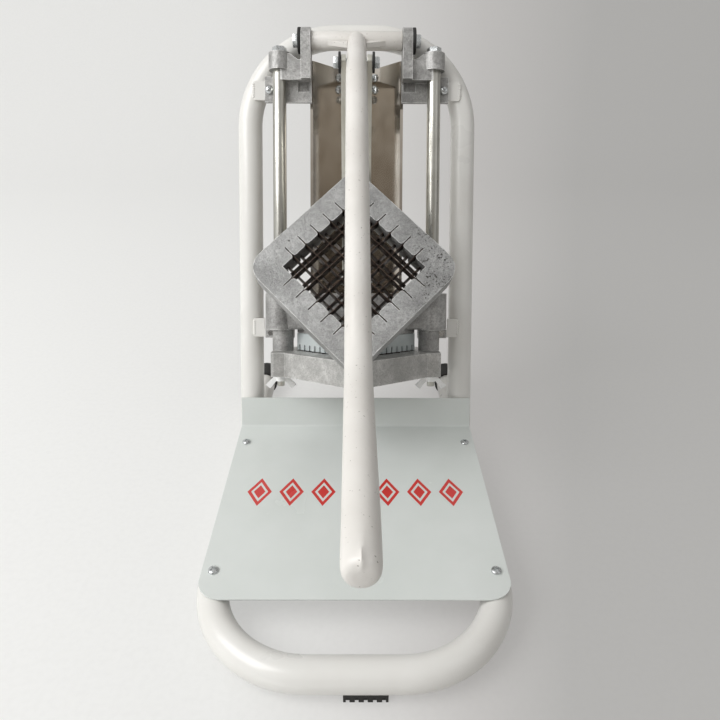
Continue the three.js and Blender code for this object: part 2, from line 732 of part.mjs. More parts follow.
function crossbar() {
  const half = ear_inner - fit_gap;
  const bar = rodAlongX(crossbar_d, -half, half, 0, 0, 16);
  const holes = sides.map(([, side]) => rodAlongX(pivot_bolt_d + 2 * fit_gap,
    side > 0 ? half - pivot_bolt_depth : -half - cut_overrun,
    side > 0 ? half + cut_overrun : -half + pivot_bolt_depth));
  return cut(bar, ...holes);
}

function gusset(side) {
  const x = lever_d / 2 - cut_overrun;
  const y = -crossbar_d / 2 + cut_overrun;
  const corner = shapeOf([[x, y], [x, y - gusset_leg_y], [x + gusset_leg_x, y]]);
  const plate = prism(corner, -gusset_t / 2, gusset_t / 2).rotateX(lever_start_angle);
  const bar = rodAlongX(crossbar_d + 2 * fit_gap, -frame_width, frame_width, 0, 0, 20);
  const lever = rodAlongY(lever_d + 2 * fit_gap, -lever_first_reach, lever_first_reach, 0, 0, 20)
    .rotateX(lever_start_angle);
  return mirrored(cut(plate, bar, lever), side);
}

piece('lever', leverTube(), 'white_enamel', leverGroup);
piece('lever_crossbar', crossbar(), 'white_enamel', leverGroup);
for (const [name, side] of sides) {
  piece(`lever_gusset_${name}`, gusset(side), 'white_enamel', leverGroup);
  const outer = ear_inner + ear_t + fit_gap;
  const washer = cut(rodAlongX(pivot_washer_d, outer, outer + pivot_washer_t, 0, 0, 20),
    rodAlongX(pivot_bolt_d + 2 * fit_gap, outer - cut_overrun, outer + 2 * pivot_washer_t));
  piece(`pivot_washer_${name}`, mirrored(washer, side), 'black_rubber', leverGroup);
  const head = outer + pivot_washer_t + fit_gap;
  const bolt = geometryOf(hexBolt(pivot_bolt_af, pivot_bolt_head_h, pivot_bolt_d,
    head - ear_inner + pivot_bolt_depth - cut_overrun));
  piece(`pivot_bolt_${name}`, bolt.rotateY((side * Math.PI) / 2).translate(side * head, 0, 0),
    'zinc', leverGroup);
}

// Link bolt, nut and washers ride on the lever
const link_inner = lever_d / 2 + fit_gap;
const link_outer = link_inner + link_t;
const washer_outer = link_outer + fit_gap + link_washer_t;
for (const [name, side] of sides) {
  const washer = cut(rodAlongX(link_washer_d, link_outer + fit_gap, washer_outer, link_pin.y, link_pin.z),
    rodAlongX(link_pin_d + 2 * fit_gap, 0, 2 * washer_outer, link_pin.y, link_pin.z));
  piece(`link_washer_${name}`, mirrored(washer, side), 'black_rubber', leverGroup);
}
const linkBolt = geometryOf(hexBolt(link_bolt_af, link_bolt_head_h, link_pin_d,
  2 * washer_outer + 2 * fit_gap + link_bolt_head_h));
piece('link_bolt', linkBolt.rotateY(-Math.PI / 2).translate(-washer_outer - fit_gap, link_pin.y, link_pin.z),
  'zinc', leverGroup);
const linkNut = cut(
  rodAlongX(link_bolt_af / Math.cos(Math.PI / 6), washer_outer + fit_gap,
    washer_outer + fit_gap + link_bolt_head_h - fit_gap, link_pin.y, link_pin.z, 6),
  rodAlongX(link_pin_d + 2 * fit_gap, 0, 2 * washer_outer, link_pin.y, link_pin.z));
piece('link_nut', linkNut, 'zinc', leverGroup);

// Links: from the lever's pin down to the carriage's pin
const upper_pin = { y: pivot.y + link_pin.y, z: pivot.z + link_pin.z };
const lower_pin = fromTilted(rod_y, lower_pin_z);
const link_length = Math.hypot(upper_pin.y - lower_pin.y, upper_pin.z - lower_pin.z);
const link_angle = Math.atan2(upper_pin.y - lower_pin.y, upper_pin.z - lower_pin.z);

function link() {
  const r = link_width / 2;
  const bar = prismAlongX([
    ...arcPoints(0, 0, r, Math.PI, 2 * Math.PI, 6), ...arcPoints(0, link_length, r, 0, Math.PI, 6),
  ], link_inner, link_outer);
  const eyes = [[0, lower_pin_d], [link_length, link_pin_d]].map(([z, d]) => rodAlongX(
    d + 2 * fit_gap, 0, 2 * link_outer, 0, z));
  return cut(bar, ...eyes);
}

const linkGroup = new THREE.Group();
linkGroup.position.set(0, lower_pin.y, lower_pin.z);
linkGroup.rotation.x = -link_angle;
cutter.add(linkGroup);
for (const [name, side] of sides) piece(`link_${name}`, mirrored(link(), side), 'bright_bar', linkGroup);

// Carriage
function carriage() {
  const bosses = sides.map(([, side]) => rod(carriage_boss_d, carriage_bottom, carriage_top,
    side * rod_x, rod_y, 20));
  const front = rod_y - carriage_front;
  const back = rod_y + carriage_back;
  const r = carriage_edge_r;
  const plate = prismAlongX([
    [front + r, carriage_bottom], [back, carriage_bottom], [back, carriage_top],
    ...arcPoints(front + r, carriage_top - r, r, Math.PI / 2, Math.PI, 3),
    ...arcPoints(front + r, carriage_bottom + r, r, Math.PI, 1.5 * Math.PI, 3).slice(0, -1),
  ], -rod_x, rod_x);
  const lug = prismAlongX([
    [rod_y - carriage_back, carriage_top - carriage_lug_r], [back, carriage_top - carriage_lug_r],
    ...arcPoints(rod_y, lower_pin_z, carriage_lug_r, 0, Math.PI, 8),
  ], -carriage_lug_t / 2, carriage_lug_t / 2);
  const bores = sides.map(([, side]) => rod(rod_d + 2 * slide_gap, 0, upright_top, side * rod_x, rod_y));
  const r_eye = lower_pin_d / 2 + slide_gap;
  const ends = [[1, pin_play_up, 0], [-1, pin_play_up, 1], [-1, -pin_play_down, 2], [1, -pin_play_down, 3]];
  const eye = prismAlongX(ends.flatMap(([across, play, quarter]) => arcPoints(
    rod_y + across * pin_play_across, lower_pin_z + play, r_eye,
    (quarter * Math.PI) / 2, ((quarter + 1) * Math.PI) / 2, 4)), -rod_x, rod_x);
  return cut(joined(plate, ...bosses, lug), ...bores, eye);
}

const pusher_plate_top = carriage_bottom - fit_gap;
const peg_top = pusher_plate_top - pusher_plate_t - fit_gap;
const peg_bottom = block_top + 2 * fit_gap;

function pusherPlate() {
  const half = pusher_side / 2;
  return box(-half, half, -half, half, pusher_plate_top - pusher_plate_t, pusher_plate_top)
    .rotateZ(Math.PI / 4).translate(0, rod_y, 0);
}

// The peg block has a groove for each blade of both layers
function pegBlock() {
  const half = pusher_side / 2;
  const grooves = [];
  const count = Math.floor(opening_side / 2 / fry_size);
  for (let i = -count; i <= count; i += 1) {
    const at = i * fry_size;
    const low = peg_bottom - cut_overrun;
    const high = peg_top - peg_root_t;
    grooves.push(box(at - peg_groove_w / 2, at + peg_groove_w / 2, -pusher_side, pusher_side, low, high));
    grooves.push(box(-pusher_side, pusher_side, at - peg_groove_w / 2, at + peg_groove_w / 2, low, high));
  }
  const pegs = cut(box(-half, half, -half, half, peg_bottom, peg_top), ...grooves);
  return geometryOf(pegs).rotateZ(Math.PI / 4).translate(0, rod_y, 0);
}

function lowerPin() {
  const reach = link_outer + fit_gap;
  const shank = rodAlongX(lower_pin_d, -reach - lower_pin_head_t / 2, reach + lower_pin_head_t / 2,
    rod_y, lower_pin_z);
  const heads = sides.map(([, side]) => rodAlongX(lower_pin_head_d,
    side > 0 ? reach : -reach - lower_pin_head_t, side > 0 ? reach + lower_pin_head_t : -reach,
    rod_y, lower_pin_z));
  return joined(shank, ...heads);
}

piece('carriage', carriage(), 'cast_aluminium', tilted);
piece('pusher_plate', pusherPlate(), 'cast_aluminium', tilted);
piece('peg_block', pegBlock(), 'nylon', tilted);
piece('lower_link_pin', lowerPin(), 'zinc', tilted);

// Blade blocks, drawn square about Z and turned to stand on a corner
function slotPlaces(offset) {
  const pitch = layer_step * fry_size;
  const places = [];
  for (let at = offset; at < opening_side / 2 - slot_w; at += pitch) places.push(at);
  const mirroredPlaces = places.filter((at) => at > 0).map((at) => -at);
  return [...mirroredPlaces.reverse(), ...places].sort((a, b) => a - b);
}

function openingOutline(places) {
  const w = opening_side / 2;
  const side = [];
  for (const at of places) {
    const left = at - slot_w / 2;
    const right = at + slot_w / 2;
    side.push(...arcPoints(left - tooth_r, w + tooth_r, tooth_r, -Math.PI / 2, 0, 2));
    side.push([left, w + slot_depth], [right, w + slot_depth]);
    side.push(...arcPoints(right + tooth_r, w + tooth_r, tooth_r, Math.PI, 1.5 * Math.PI, 2));
  }
  const points = [];
  for (let quarter = 0; quarter < 4; quarter += 1) {
    const c = Math.round(Math.cos((quarter * Math.PI) / 2));
    const s = Math.round(Math.sin((quarter * Math.PI) / 2));
    points.push([-w * c + w * s, w * c + w * s]);
    for (const [x, y] of side) points.push([x * c + y * s, y * c - x * s]);
  }
  return points;
}

function blockLayer(places, z0, z1) {
  const h = block_side / 2;
  const corner = (sx, sy, r, start) => arcPoints(sx * (h - r), sy * (h - r), r,
    start, start + Math.PI / 2, r > block_point_r ? 5 : 2);
  const outline = shapeOf([
    ...corner(1, 1, block_point_r, 0), ...corner(-1, 1, block_corner_r, Math.PI / 2),
    ...corner(-1, -1, block_point_r, Math.PI), ...corner(1, -1, block_corner_r, 1.5 * Math.PI),
  ]);
  const opening = openingOutline(places).map(([x, y]) => new THREE.Vector2(x, y));
  outline.holes.push(new THREE.Path(opening));
  return prism(outline, z0, z1);
}

// A squared end of the mounted block, round the stud
function blockEnd(side) {
  const outline = [
    ...arcPoints(end_reach - end_r, end_half_depth - end_r, end_r, 0, Math.PI / 2, 3),
    [end_inner, end_half_depth], [end_inner, -end_half_depth],
    ...arcPoints(end_reach - end_r, -end_half_depth + end_r, end_r, 1.5 * Math.PI, 2 * Math.PI, 3),
  ];
  return mirrored(prism(shapeOf(outline), 0, block_t), side);
}

function blockFrame(studs) {
  const front = blockLayer(slotPlaces(0), block_t / 2, block_t);
  const rear = blockLayer(slotPlaces(fry_size), 0, block_t / 2);
  const body = geometryOf(joined(front, rear)).rotateZ(Math.PI / 4);
  if (!studs) return body;
  const ends = sides.map(([, side]) => blockEnd(side));
  const beyond = sides.map(([, side]) => box(end_reach, 2 * end_reach, -block_side, block_side,
    -cut_overrun, block_t + cut_overrun).translate(side < 0 ? -3 * end_reach : 0, 0, 0));
  const holes = sides.map(([, side]) => rod(stud_hole_d, -cut_overrun, block_t + cut_overrun, side * rod_x, 0));
  return cut(joined(body, ...ends), ...beyond, ...holes);
}

// A flat grating: the cells between the lines that are filled, as one closed body
function grating(lines, filled, z0, z1) {
  const points = [];
  const last = lines.length - 1;
  const quad = (a, b, c, d) => points.push(...a, ...b, ...c, ...a, ...c, ...d);
  const open = (i, j) => i < 0 || j < 0 || i >= last || j >= last || !filled(i, j);
  for (let i = 0; i < last; i += 1) {
    for (let j = 0; j < last; j += 1) {
      if (open(i, j)) continue;
      const [x0, x1, y0, y1] = [lines[i], lines[i + 1], lines[j], lines[j + 1]];
      quad([x0, y0, z1], [x1, y0, z1], [x1, y1, z1], [x0, y1, z1]);
      quad([x0, y0, z0], [x0, y1, z0], [x1, y1, z0], [x1, y0, z0]);
      if (open(i - 1, j)) quad([x0, y0, z0], [x0, y0, z1], [x0, y1, z1], [x0, y1, z0]);
      if (open(i + 1, j)) quad([x1, y0, z0], [x1, y1, z0], [x1, y1, z1], [x1, y0, z1]);
      if (open(i, j - 1)) quad([x0, y0, z0], [x1, y0, z0], [x1, y0, z1], [x0, y0, z1]);
      if (open(i, j + 1)) quad([x0, y1, z0], [x0, y1, z1], [x1, y1, z1], [x1, y1, z0]);
    }
  }
  const geometry = new THREE.BufferGeometry();
  geometry.setAttribute('position', new THREE.BufferAttribute(new Float32Array(points), 3));
  geometry.computeVertexNormals();
  return geometry;
}

// One layer of strip blades, crossed and half-lapped
function bladeLayer(places, z0, z1) {
  const reach = opening_side / 2 + slot_depth - fit_gap;
  const lines = [-reach, ...places.flatMap((at) => [at - blade_t / 2, at + blade_t / 2]), reach];
  const blade = (i) => i % 2 === 1;
  return grating(lines, (i, j) => blade(i) || blade(j), z0, z1).rotateZ(Math.PI / 4);
}

function addBlock(name, studs, parent) {
  piece(`${name}_frame`, blockFrame(studs), 'cast_aluminium', parent);
  piece(`${name}_front_blades`, bladeLayer(slotPlaces(0), (block_t + fit_gap) / 2, block_t - blade_inset),
    'blade_steel', parent);
  piece(`${name}_rear_blades`, bladeLayer(slotPlaces(fry_size), blade_inset, (block_t - fit_gap) / 2),
    'blade_steel', parent);
}

const mounted = new THREE.Group();
mounted.position.set(0, rod_y, block_top - block_t);
tilted.add(mounted);
addBlock('blade_block', true, mounted);

// Wing nuts and washers under the mounted block
function wingNut() {
  const hub = new THREE.CylinderGeometry(hub_d / 2, hub_top_d / 2, hub_h, round_sides)
    .rotateX(Math.PI / 2).translate(0, 0, -hub_h / 2);
  const wing = (side) => prism(shapeOf([
    [side * stud_d * wing_root_share, -fit_gap], [side * hub_d * wing_root_share, -fit_gap * 4],
    [side * wing_reach, -wing_drop * wing_shoulder_share], [side * wing_reach * wing_tip_share, -wing_drop],
    [side * stud_d * wing_root_share, -hub_h + fit_gap],
  ]), -wing_t / 2, wing_t / 2).rotateX(Math.PI / 2);
  return cut(joined(hub, wing(1), wing(-1)), rod(stud_hole_d, -wing_drop - cut_overrun, cut_overrun));
}

for (const [name, side] of sides) {
  const under = block_top - block_t - fit_gap;
  const washer = cut(rod(washer_d, under - washer_t, under), rod(stud_hole_d, 0, upright_top));
  piece(`stud_washer_${name}`, geometryOf(washer).translate(side * rod_x, rod_y, 0), 'zinc', tilted);
  piece(`wing_nut_${name}`, geometryOf(wingNut()).translate(side * rod_x, rod_y, under - washer_t - fit_gap),
    'zinc', tilted);
}

// V trough: its two walls stand just outside the pusher's rear sides
const trough_corner = rod_y + pusher_side / root2 + trough_clear * root2;

function vee(corner, half, thickness, lip) {
  const t = thickness * root2;
  const front = corner - half;
  return [
    [-half - lip, front], [-half, front], [0, corner], [half, front], [half + lip, front],
    [half + lip, front + thickness], [half + t - thickness, front + thickness], [0, corner + t],
    [-half - t + thickness, front + thickness], [-half - lip, front + thickness],
  ];
}

function troughScrewTool(side, z, diameter, depth) {
  const wall = trough_corner - trough_screw_x;
  return rodAlongY(diameter, -depth, depth).rotateZ((-side * Math.PI) / 4)
    .translate(side * trough_screw_x, wall, z);
}

const trough_screw_places = sides.flatMap(([name, side]) => ['upper', 'lower'].map((level, i) => ({
  name: `trough_screw_${level}_${name}`,
  side,
  z: trough_screw_z + (i === 0 ? 1 : -1) * (trough_screw_pitch / 2),
})));

function troughSheet() {
  const sheet = prism(shapeOf(vee(trough_corner, trough_half, trough_t, trough_lip)),
    block_top + fit_gap, trough_top);
  return cut(sheet, ...trough_screw_places.map(({ side, z }) => troughScrewTool(
    side, z, trough_screw_d + 2 * fit_gap, trough_screw_x / 2)));
}

function troughStrap() {
  const gap = (trough_t + fit_gap) * root2;
  const corner = trough_corner + gap;
  const half = corner - strap_ear_y;
  const bent = prism(shapeOf(vee(corner, half, strap_t, strap_ear)),
    strap_bottom, strap_bottom + strap_height);
  return cut(bent, ...trough_screw_places.map(({ side, z }) => troughScrewTool(
    side, z, trough_screw_d + 2 * fit_gap, trough_screw_x)));
}

piece('trough', troughSheet(), 'mirror_steel', tilted);
piece('trough_strap', troughStrap(), 'zinc', tilted);
for (const { name, side, z } of trough_screw_places) {
  const screw = panScrew(trough_screw_head_d, trough_screw_head_h, trough_screw_d, trough_t + strap_t + 2 * fit_gap)
    .rotateX(Math.PI / 2).rotateZ((-side * Math.PI) / 4);
  const out = fit_gap / root2;
  piece(name, screw.translate(side * (trough_screw_x - out), trough_corner - trough_screw_x - out, z),
    'zinc', tilted);
}

// Spare block: its back face leans on the mounted block's front corner and on the links
const seat = fromTilted(rod_y - block_side / root2 + block_point_r * (root2 - 1), block_top);

function spareLean() {
  const reach = spare_seat + block_side / root2 - (link_inner - spare_shift);
  const side = link_width / 2;
  const along = { y: Math.sin(link_angle), z: Math.cos(link_angle) };
  const edge = { y: lower_pin.y - side * Math.cos(link_angle), z: lower_pin.z + side * Math.sin(link_angle) };
  const from = { y: edge.y - seat.y, z: edge.z - seat.z };
  const b = from.y * along.y + from.z * along.z;
  const c = from.y * from.y + from.z * from.z - reach * reach;
  const run = -b + Math.sqrt(b * b - c);
  return Math.atan2(from.y + run * along.y - 2 * fit_gap, from.z + run * along.z);
}

const spare_lean = spareLean();
const spare = new THREE.Group();
spare.rotation.set(Math.PI / 2 - spare_lean, 0, 0);
const out_y = -Math.cos(spare_lean);
const out_z = Math.sin(spare_lean);
spare.position.set(-spare_shift,
  seat.y + spare_seat * Math.sin(spare_lean) + fit_gap * out_y,
  seat.z + spare_seat * Math.cos(spare_lean) + fit_gap * out_z);
cutter.add(spare);
addBlock('spare_block', false, spare);

export default cutter;
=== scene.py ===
# %% [markdown]
# A french fry cutter on a bent tube stand. The real tool is a press: a long lever pulls a carriage
# down two guide rods, and a block of nylon pegs pushes a potato through two layers of crossed
# blades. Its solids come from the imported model. This notebook gives each one the surface the real
# one has.

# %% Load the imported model
import json
import math

import bmesh
import bpy
from mathutils import Matrix, Vector


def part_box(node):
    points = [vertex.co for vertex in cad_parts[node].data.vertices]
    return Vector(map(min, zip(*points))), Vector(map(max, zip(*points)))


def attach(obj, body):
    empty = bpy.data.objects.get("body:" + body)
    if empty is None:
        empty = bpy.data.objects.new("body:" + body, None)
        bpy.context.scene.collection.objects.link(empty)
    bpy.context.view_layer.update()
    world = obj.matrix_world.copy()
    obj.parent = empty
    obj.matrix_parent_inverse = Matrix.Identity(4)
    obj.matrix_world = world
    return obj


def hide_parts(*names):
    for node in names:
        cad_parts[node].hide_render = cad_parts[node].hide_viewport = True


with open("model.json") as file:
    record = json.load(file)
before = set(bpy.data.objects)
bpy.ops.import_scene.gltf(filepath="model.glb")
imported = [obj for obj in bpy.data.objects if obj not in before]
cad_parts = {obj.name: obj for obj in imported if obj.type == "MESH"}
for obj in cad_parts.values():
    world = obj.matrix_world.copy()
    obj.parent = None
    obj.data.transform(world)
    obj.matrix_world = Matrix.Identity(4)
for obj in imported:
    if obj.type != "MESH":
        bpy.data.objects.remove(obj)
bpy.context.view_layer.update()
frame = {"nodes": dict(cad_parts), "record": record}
MM = 0.001
print("pieces in the frame:", len(frame["nodes"]))

# %% [markdown]
# The guide rods, the uprights and all that hangs on them lean back together. One matrix carries a
# shape drawn upright in that leaning frame to its place, so every piece is drawn straight first.

# %% The leaning frame
def place_at(x, y, z):
    """A move to a place given in mm."""
    return Matrix.Translation((x * MM, y * MM, z * MM))


LEAN = math.radians(21.6)
SLOPE = place_at(0, 296, 30.4) @ Matrix.Rotation(-LEAN, 4, "X")
TUBE_R = 12.7 * MM
HALF_FRAME = 114.3 * MM
RAIL_Z = 16.2 * MM
ROD_X, ROD_Y = 80, -24
SIDES = ((-1, "left"), (1, "right"))
print("lean of the uprights in degrees:", round(math.degrees(LEAN), 1))

# %% [markdown]
# Every colour is written as the sRGB hex a picker shows, and one function turns it into the linear
# numbers that the shader works in. Another adds any node with its settings and its links.

# %% Colour and node helpers
BLACK, WHITE = (0, 0, 0, 1), (1, 1, 1, 1)


def srgb(text):
    parts = [int(text[i:i + 2], 16) / 255 for i in (1, 3, 5)]
    linear = (c / 12.92 if c <= 0.04045 else ((c + 0.055) / 1.055) ** 2.4 for c in parts)
    return tuple(linear) + (1.0,)


def feed(tree, socket, value):
    """A socket takes another node's output as a link, and anything else as its own value."""
    if isinstance(value, bpy.types.NodeSocket):
        tree.links.new(value, socket)
    else:
        socket.default_value = value


def add(tree, kind, sockets=None, **settings):
    made = tree.nodes.new(kind)
    for key, value in settings.items():
        setattr(made, key, value)
    for key, value in (sockets or {}).items():
        feed(tree, made.inputs[key], value)
    return made


def start(name):
    """An empty surface: its tree, its shader, and the object's own coordinates."""
    material = bpy.data.materials.new(name)
    material.use_nodes = True
    tree = material.node_tree
    shader = tree.nodes["Principled BSDF"]
    place = add(tree, "ShaderNodeTexCoord").outputs["Object"]
    return material, tree, shader, place

# %% [markdown]
# Real surfaces vary at several sizes at once: stains as wide as a hand, and grain finer than a
# millimetre. Each comes from a noise texture of that size, and a ramp says what it does to the
# colour.

# %% Noise, ramps and bumps
def noise(tree, place, size_mm, detail=3.0, roughness=0.5, stretch=(1, 1, 1)):
    """Cloudy noise whose blobs are about size_mm across. A stretch below 1 draws them out."""
    turned = add(tree, "ShaderNodeMapping", {"Vector": place, "Scale": stretch})
    return add(tree, "ShaderNodeTexNoise", {
        "Vector": turned.outputs["Vector"], "Scale": 1 / (size_mm * MM),
        "Detail": detail, "Roughness": roughness}).outputs["Fac"]


def ramp(tree, fac, stops):
    """A colour ramp from (position, colour or grey) pairs."""
    made = add(tree, "ShaderNodeValToRGB", {"Fac": fac})
    elements = made.color_ramp.elements
    while len(elements) < len(stops):
        elements.new(0.5)
    for element, (position, value) in zip(elements, stops):
        element.position = position
        element.color = srgb(value) if isinstance(value, str) else (value, value, value, 1)
    return made.outputs["Color"]


def mix(tree, fac, low, high):
    """Mixes two colours. The node's colour sockets are its inputs 6 and 7, and its output 2."""
    made = add(tree, "ShaderNodeMix", data_type="RGBA")
    for index, value in ((0, fac), (6, low), (7, high)):
        feed(tree, made.inputs[index], value)
    return made.outputs[2]


def maths(tree, operation, first, second=0.0):
    return add(tree, "ShaderNodeMath", {0: first, 1: second}, operation=operation).outputs[0]


def span(tree, value, low, high, to_low=0.0, to_high=1.0):
    """Maps low..high to to_low..to_high, and holds it there outside."""
    return add(tree, "ShaderNodeMapRange", {
        "Value": value, "From Min": low, "From Max": high,
        "To Min": to_low, "To Max": to_high}).outputs["Result"]


def bump(tree, shader, height, depth_mm, below=None):
    """Raises the surface by height. Below is a coarser bump that this one lies on."""
    sockets = {"Height": height, "Distance": depth_mm * MM, "Strength": 1.0}
    if below is not None:
        sockets["Normal"] = below
    made = add(tree, "ShaderNodeBump", sockets)
    tree.links.new(made.outputs["Normal"], shader.inputs["Normal"])
    return made.outputs["Normal"]

# %% [markdown]
# The stand is steel tube under a baked enamel. Baked enamel is warm white and glossy, and its skin
# is faintly rippled like orange peel. Dust and hands dull it in soft patches. The lever was
# painted with a brush, which is rougher, and its paint has chipped in small dots.

# %% White enamel
def enamel(name, clean, dull, peel_mm, peel_depth, roughness, chip_share=0.0):
    material, tree, shader, place = start(name)
    patches = noise(tree, place, 60, 4)
    specks = noise(tree, place, 3, 5, 0.7)
    colour = ramp(tree, patches, [(0.3, clean), (0.75, dull)])
    dusty = ramp(tree, specks, [(0.66, 0.0), (0.8, 0.25)])
    colour = mix(tree, dusty, colour, srgb("#C9C4BA"))
    if chip_share:
        dots = noise(tree, place, 1.6, 1)
        chips = ramp(tree, dots, [(1 - chip_share, 0.0), (1.02 - chip_share, 0.75)])
        colour = mix(tree, chips, colour, srgb("#8B867E"))
    dulled = ramp(tree, patches, [(0.3, roughness), (0.8, roughness + 0.14)])
    tree.links.new(colour, shader.inputs["Base Color"])
    tree.links.new(dulled, shader.inputs["Roughness"])
    shader.inputs["Coat Weight"].default_value = 0.25
    shader.inputs["Coat Roughness"].default_value = 0.12
    bump(tree, shader, noise(tree, place, peel_mm, 2), peel_depth)
    return material


white_enamel = enamel("baked white enamel", "#E7E6E2", "#DEDCD7",
                      peel_mm=2.5, peel_depth=0.05, roughness=0.26)
lever_enamel = enamel("brushed-on white enamel", "#E6E3DE", "#D6D2CC",
                      peel_mm=6.0, peel_depth=0.3, roughness=0.4, chip_share=0.26)
print("enamels:", white_enamel.name, lever_enamel.name)

# %% [markdown]
# The base sheet is enamelled in a cooler white and carries a red print. The print here is a plain
# row of lozenges in the same red, drawn by folding X back on itself and adding the distances in X
# and Y.

# %% Printed sheet enamel
PRINT_PERIOD, PRINT_ROW_Y, PRINT_HALF_ROW = 30 * MM, 174 * MM, 104 * MM
LOZENGE_REACH, RING_REACH, CORE_REACH = 11.5 * MM, 8 * MM, 5.5 * MM
LOZENGE_SLIM = 0.6
FLAP_Z = 35 * MM
FAR_LEFT = 600 * MM  # whole periods, added so that the fold never sees a negative X


def printed_enamel():
    material = enamel("baked enamel on sheet", "#DDE1DE", "#D5DAD6",
                      peel_mm=4.0, peel_depth=0.02, roughness=0.16)
    tree = material.node_tree
    shader = tree.nodes["Principled BSDF"]
    place = next(n for n in tree.nodes if n.type == "TEX_COORD").outputs["Object"]
    plain = shader.inputs["Base Color"].links[0].from_socket
    parts = add(tree, "ShaderNodeSeparateXYZ", {"Vector": place}).outputs

    folded = maths(tree, "PINGPONG", maths(tree, "ADD", parts["X"], FAR_LEFT), PRINT_PERIOD / 2)
    across = maths(tree, "ABSOLUTE", maths(tree, "SUBTRACT", parts["Y"], PRINT_ROW_Y))
    reach = maths(tree, "ADD", folded, maths(tree, "MULTIPLY", across, LOZENGE_SLIM))
    outer, ring, core = (maths(tree, "LESS_THAN", reach, limit)
                         for limit in (LOZENGE_REACH, RING_REACH, CORE_REACH))
    drawn = maths(tree, "ADD", maths(tree, "SUBTRACT", outer, ring), core)
    in_row = maths(tree, "LESS_THAN", maths(tree, "ABSOLUTE", parts["X"]), PRINT_HALF_ROW)
    off_flap = maths(tree, "LESS_THAN", parts["Z"], FLAP_Z)
    print_share = maths(tree, "MULTIPLY", maths(tree, "MULTIPLY", drawn, in_row), off_flap)
    tree.links.new(mix(tree, print_share, plain, srgb("#CE3A36")), shader.inputs["Base Color"])
    return material


sheet_enamel = printed_enamel()
print("printed sheet:", sheet_enamel.name)

# %% [markdown]
# The brackets, the carriage and the blade blocks are aluminium cast in sand. The sand leaves a
# grain of about a millimetre, gas leaves dark pits, and handling leaves cloudy grey patches. Edges
# are painted bright, partly as wear where they rub and partly as a painted highlight on the small
# round that catches the light. To find them, the Bevel node gives a rounded normal, and where that
# turns away from the true one there is an edge.

# %% Where a casting is pitted, and where its edges are worn and carry a painted highlight
def pits(tree, place, share, worst_x):
    """Where worst_x is given in mm, most pits lie to its right, as where gas rose in the mould."""
    holes = ramp(tree, noise(tree, place, 2.1, 3, 0.6), [(0.58, 0.0), (0.64, 1.0)])
    where = ramp(tree, noise(tree, place, 5, 4, 0.7), [(1 - share, 0.0), (1 - share + 0.06, 1.0)])
    if worst_x is not None:
        side = add(tree, "ShaderNodeSeparateXYZ", {"Vector": place}).outputs["X"]
        far = span(tree, side, worst_x * MM, (worst_x + 22) * MM)
        worse = ramp(tree, noise(tree, place, 7, 4, 0.7), [(0.42, 0.0), (0.5, 1.0)])
        where = mix(tree, far, where, worse)
    return mix(tree, where, BLACK, holes)


def worn_and_highlit_edges(tree, place, radius_mm=1.0):
    softened = add(tree, "ShaderNodeBevel", {"Radius": radius_mm * MM}, samples=6).outputs["Normal"]
    true = add(tree, "ShaderNodeNewGeometry").outputs["Normal"]
    turned_by = add(tree, "ShaderNodeVectorMath", {0: softened, 1: true},
                    operation="DOT_PRODUCT").outputs["Value"]
    # bright rims: partly wear, partly a painted highlight of the rounded edge
    rim_wear_and_highlight = ramp(tree, turned_by, [(0.95, 1.0), (0.997, 0.0)])
    patchy = ramp(tree, noise(tree, place, 6, 4, 0.7), [(0.36, 0.2), (0.56, 0.9)])
    return mix(tree, rim_wear_and_highlight, BLACK, patchy)


print("pits and worn edges ready")

# %% [markdown]
# The cast colour is built up in the order in which the real one was: the metal's own clouds, the
# sand's grain, the streaks of handling, the worn edges, and the pits on top, where nothing rubs.
# The bright edge colour is also a painted highlight along the rounded edges.

# %% Sand-cast aluminium
def cast_aluminium(name, light, dark, pit_share, worst_x=None):
    material, tree, shader, place = start(name)
    clouds = noise(tree, place, 26, 5, 0.62)
    mottle = noise(tree, place, 3.2, 4, 0.65)
    grain = noise(tree, place, 1.1, 3, 0.65)
    streaks = noise(tree, place, 1.4, 3, 0.7, stretch=(1, 0.12, 0.3))
    pitted = pits(tree, place, pit_share, worst_x)
    colour = ramp(tree, clouds, [(0.34, dark), (0.62, light)])
    for share, layer in (
            (ramp(tree, mottle, [(0.36, 0.7), (0.56, 0.0)]), dark),
            (ramp(tree, grain, [(0.34, 0.34), (0.5, 0.0)]), "#6F6E6B"),
            (ramp(tree, grain, [(0.54, 0.0), (0.68, 0.24)]), "#E2E2E0"),
            (ramp(tree, streaks, [(0.6, 0.0), (0.74, 0.35)]), "#DADAD8"),
            # bright edges: partly wear, partly a painted highlight
            (worn_and_highlit_edges(tree, place), "#F6F6F4"),
            (pitted, "#4A4642")):
        colour = mix(tree, share, colour, srgb(layer))
    tree.links.new(colour, shader.inputs["Base Color"])
    shader.inputs["Metallic"].default_value = 0.6
    tree.links.new(ramp(tree, mottle, [(0.3, 0.38), (0.7, 0.56)]), shader.inputs["Roughness"])
    coarse = bump(tree, shader, mottle, 0.5)
    fine = bump(tree, shader, grain, 0.24, coarse)
    bump(tree, shader, mix(tree, pitted, WHITE, BLACK), 0.4, fine)
    return material


# one alloy in three tones: the spare block's is darkened as painted shade, the mounted block's is
# lightened as painted light
cast_spare_painted_shade = cast_aluminium("sand-cast aluminium, gassed, darkened as painted shade", "#B8B8B7", "#8F8F8E", 0.36, worst_x=44)
cast_block_painted_light = cast_aluminium("sand-cast aluminium, pitted, lightened as painted light", "#D6D5D2", "#A8A7A4", 0.38)
cast_bracket = cast_aluminium("sand-cast aluminium", "#C5C4C2", "#8B8A88", 0.35)
print("castings:", cast_spare_painted_shade.name, cast_block_painted_light.name, cast_bracket.name)
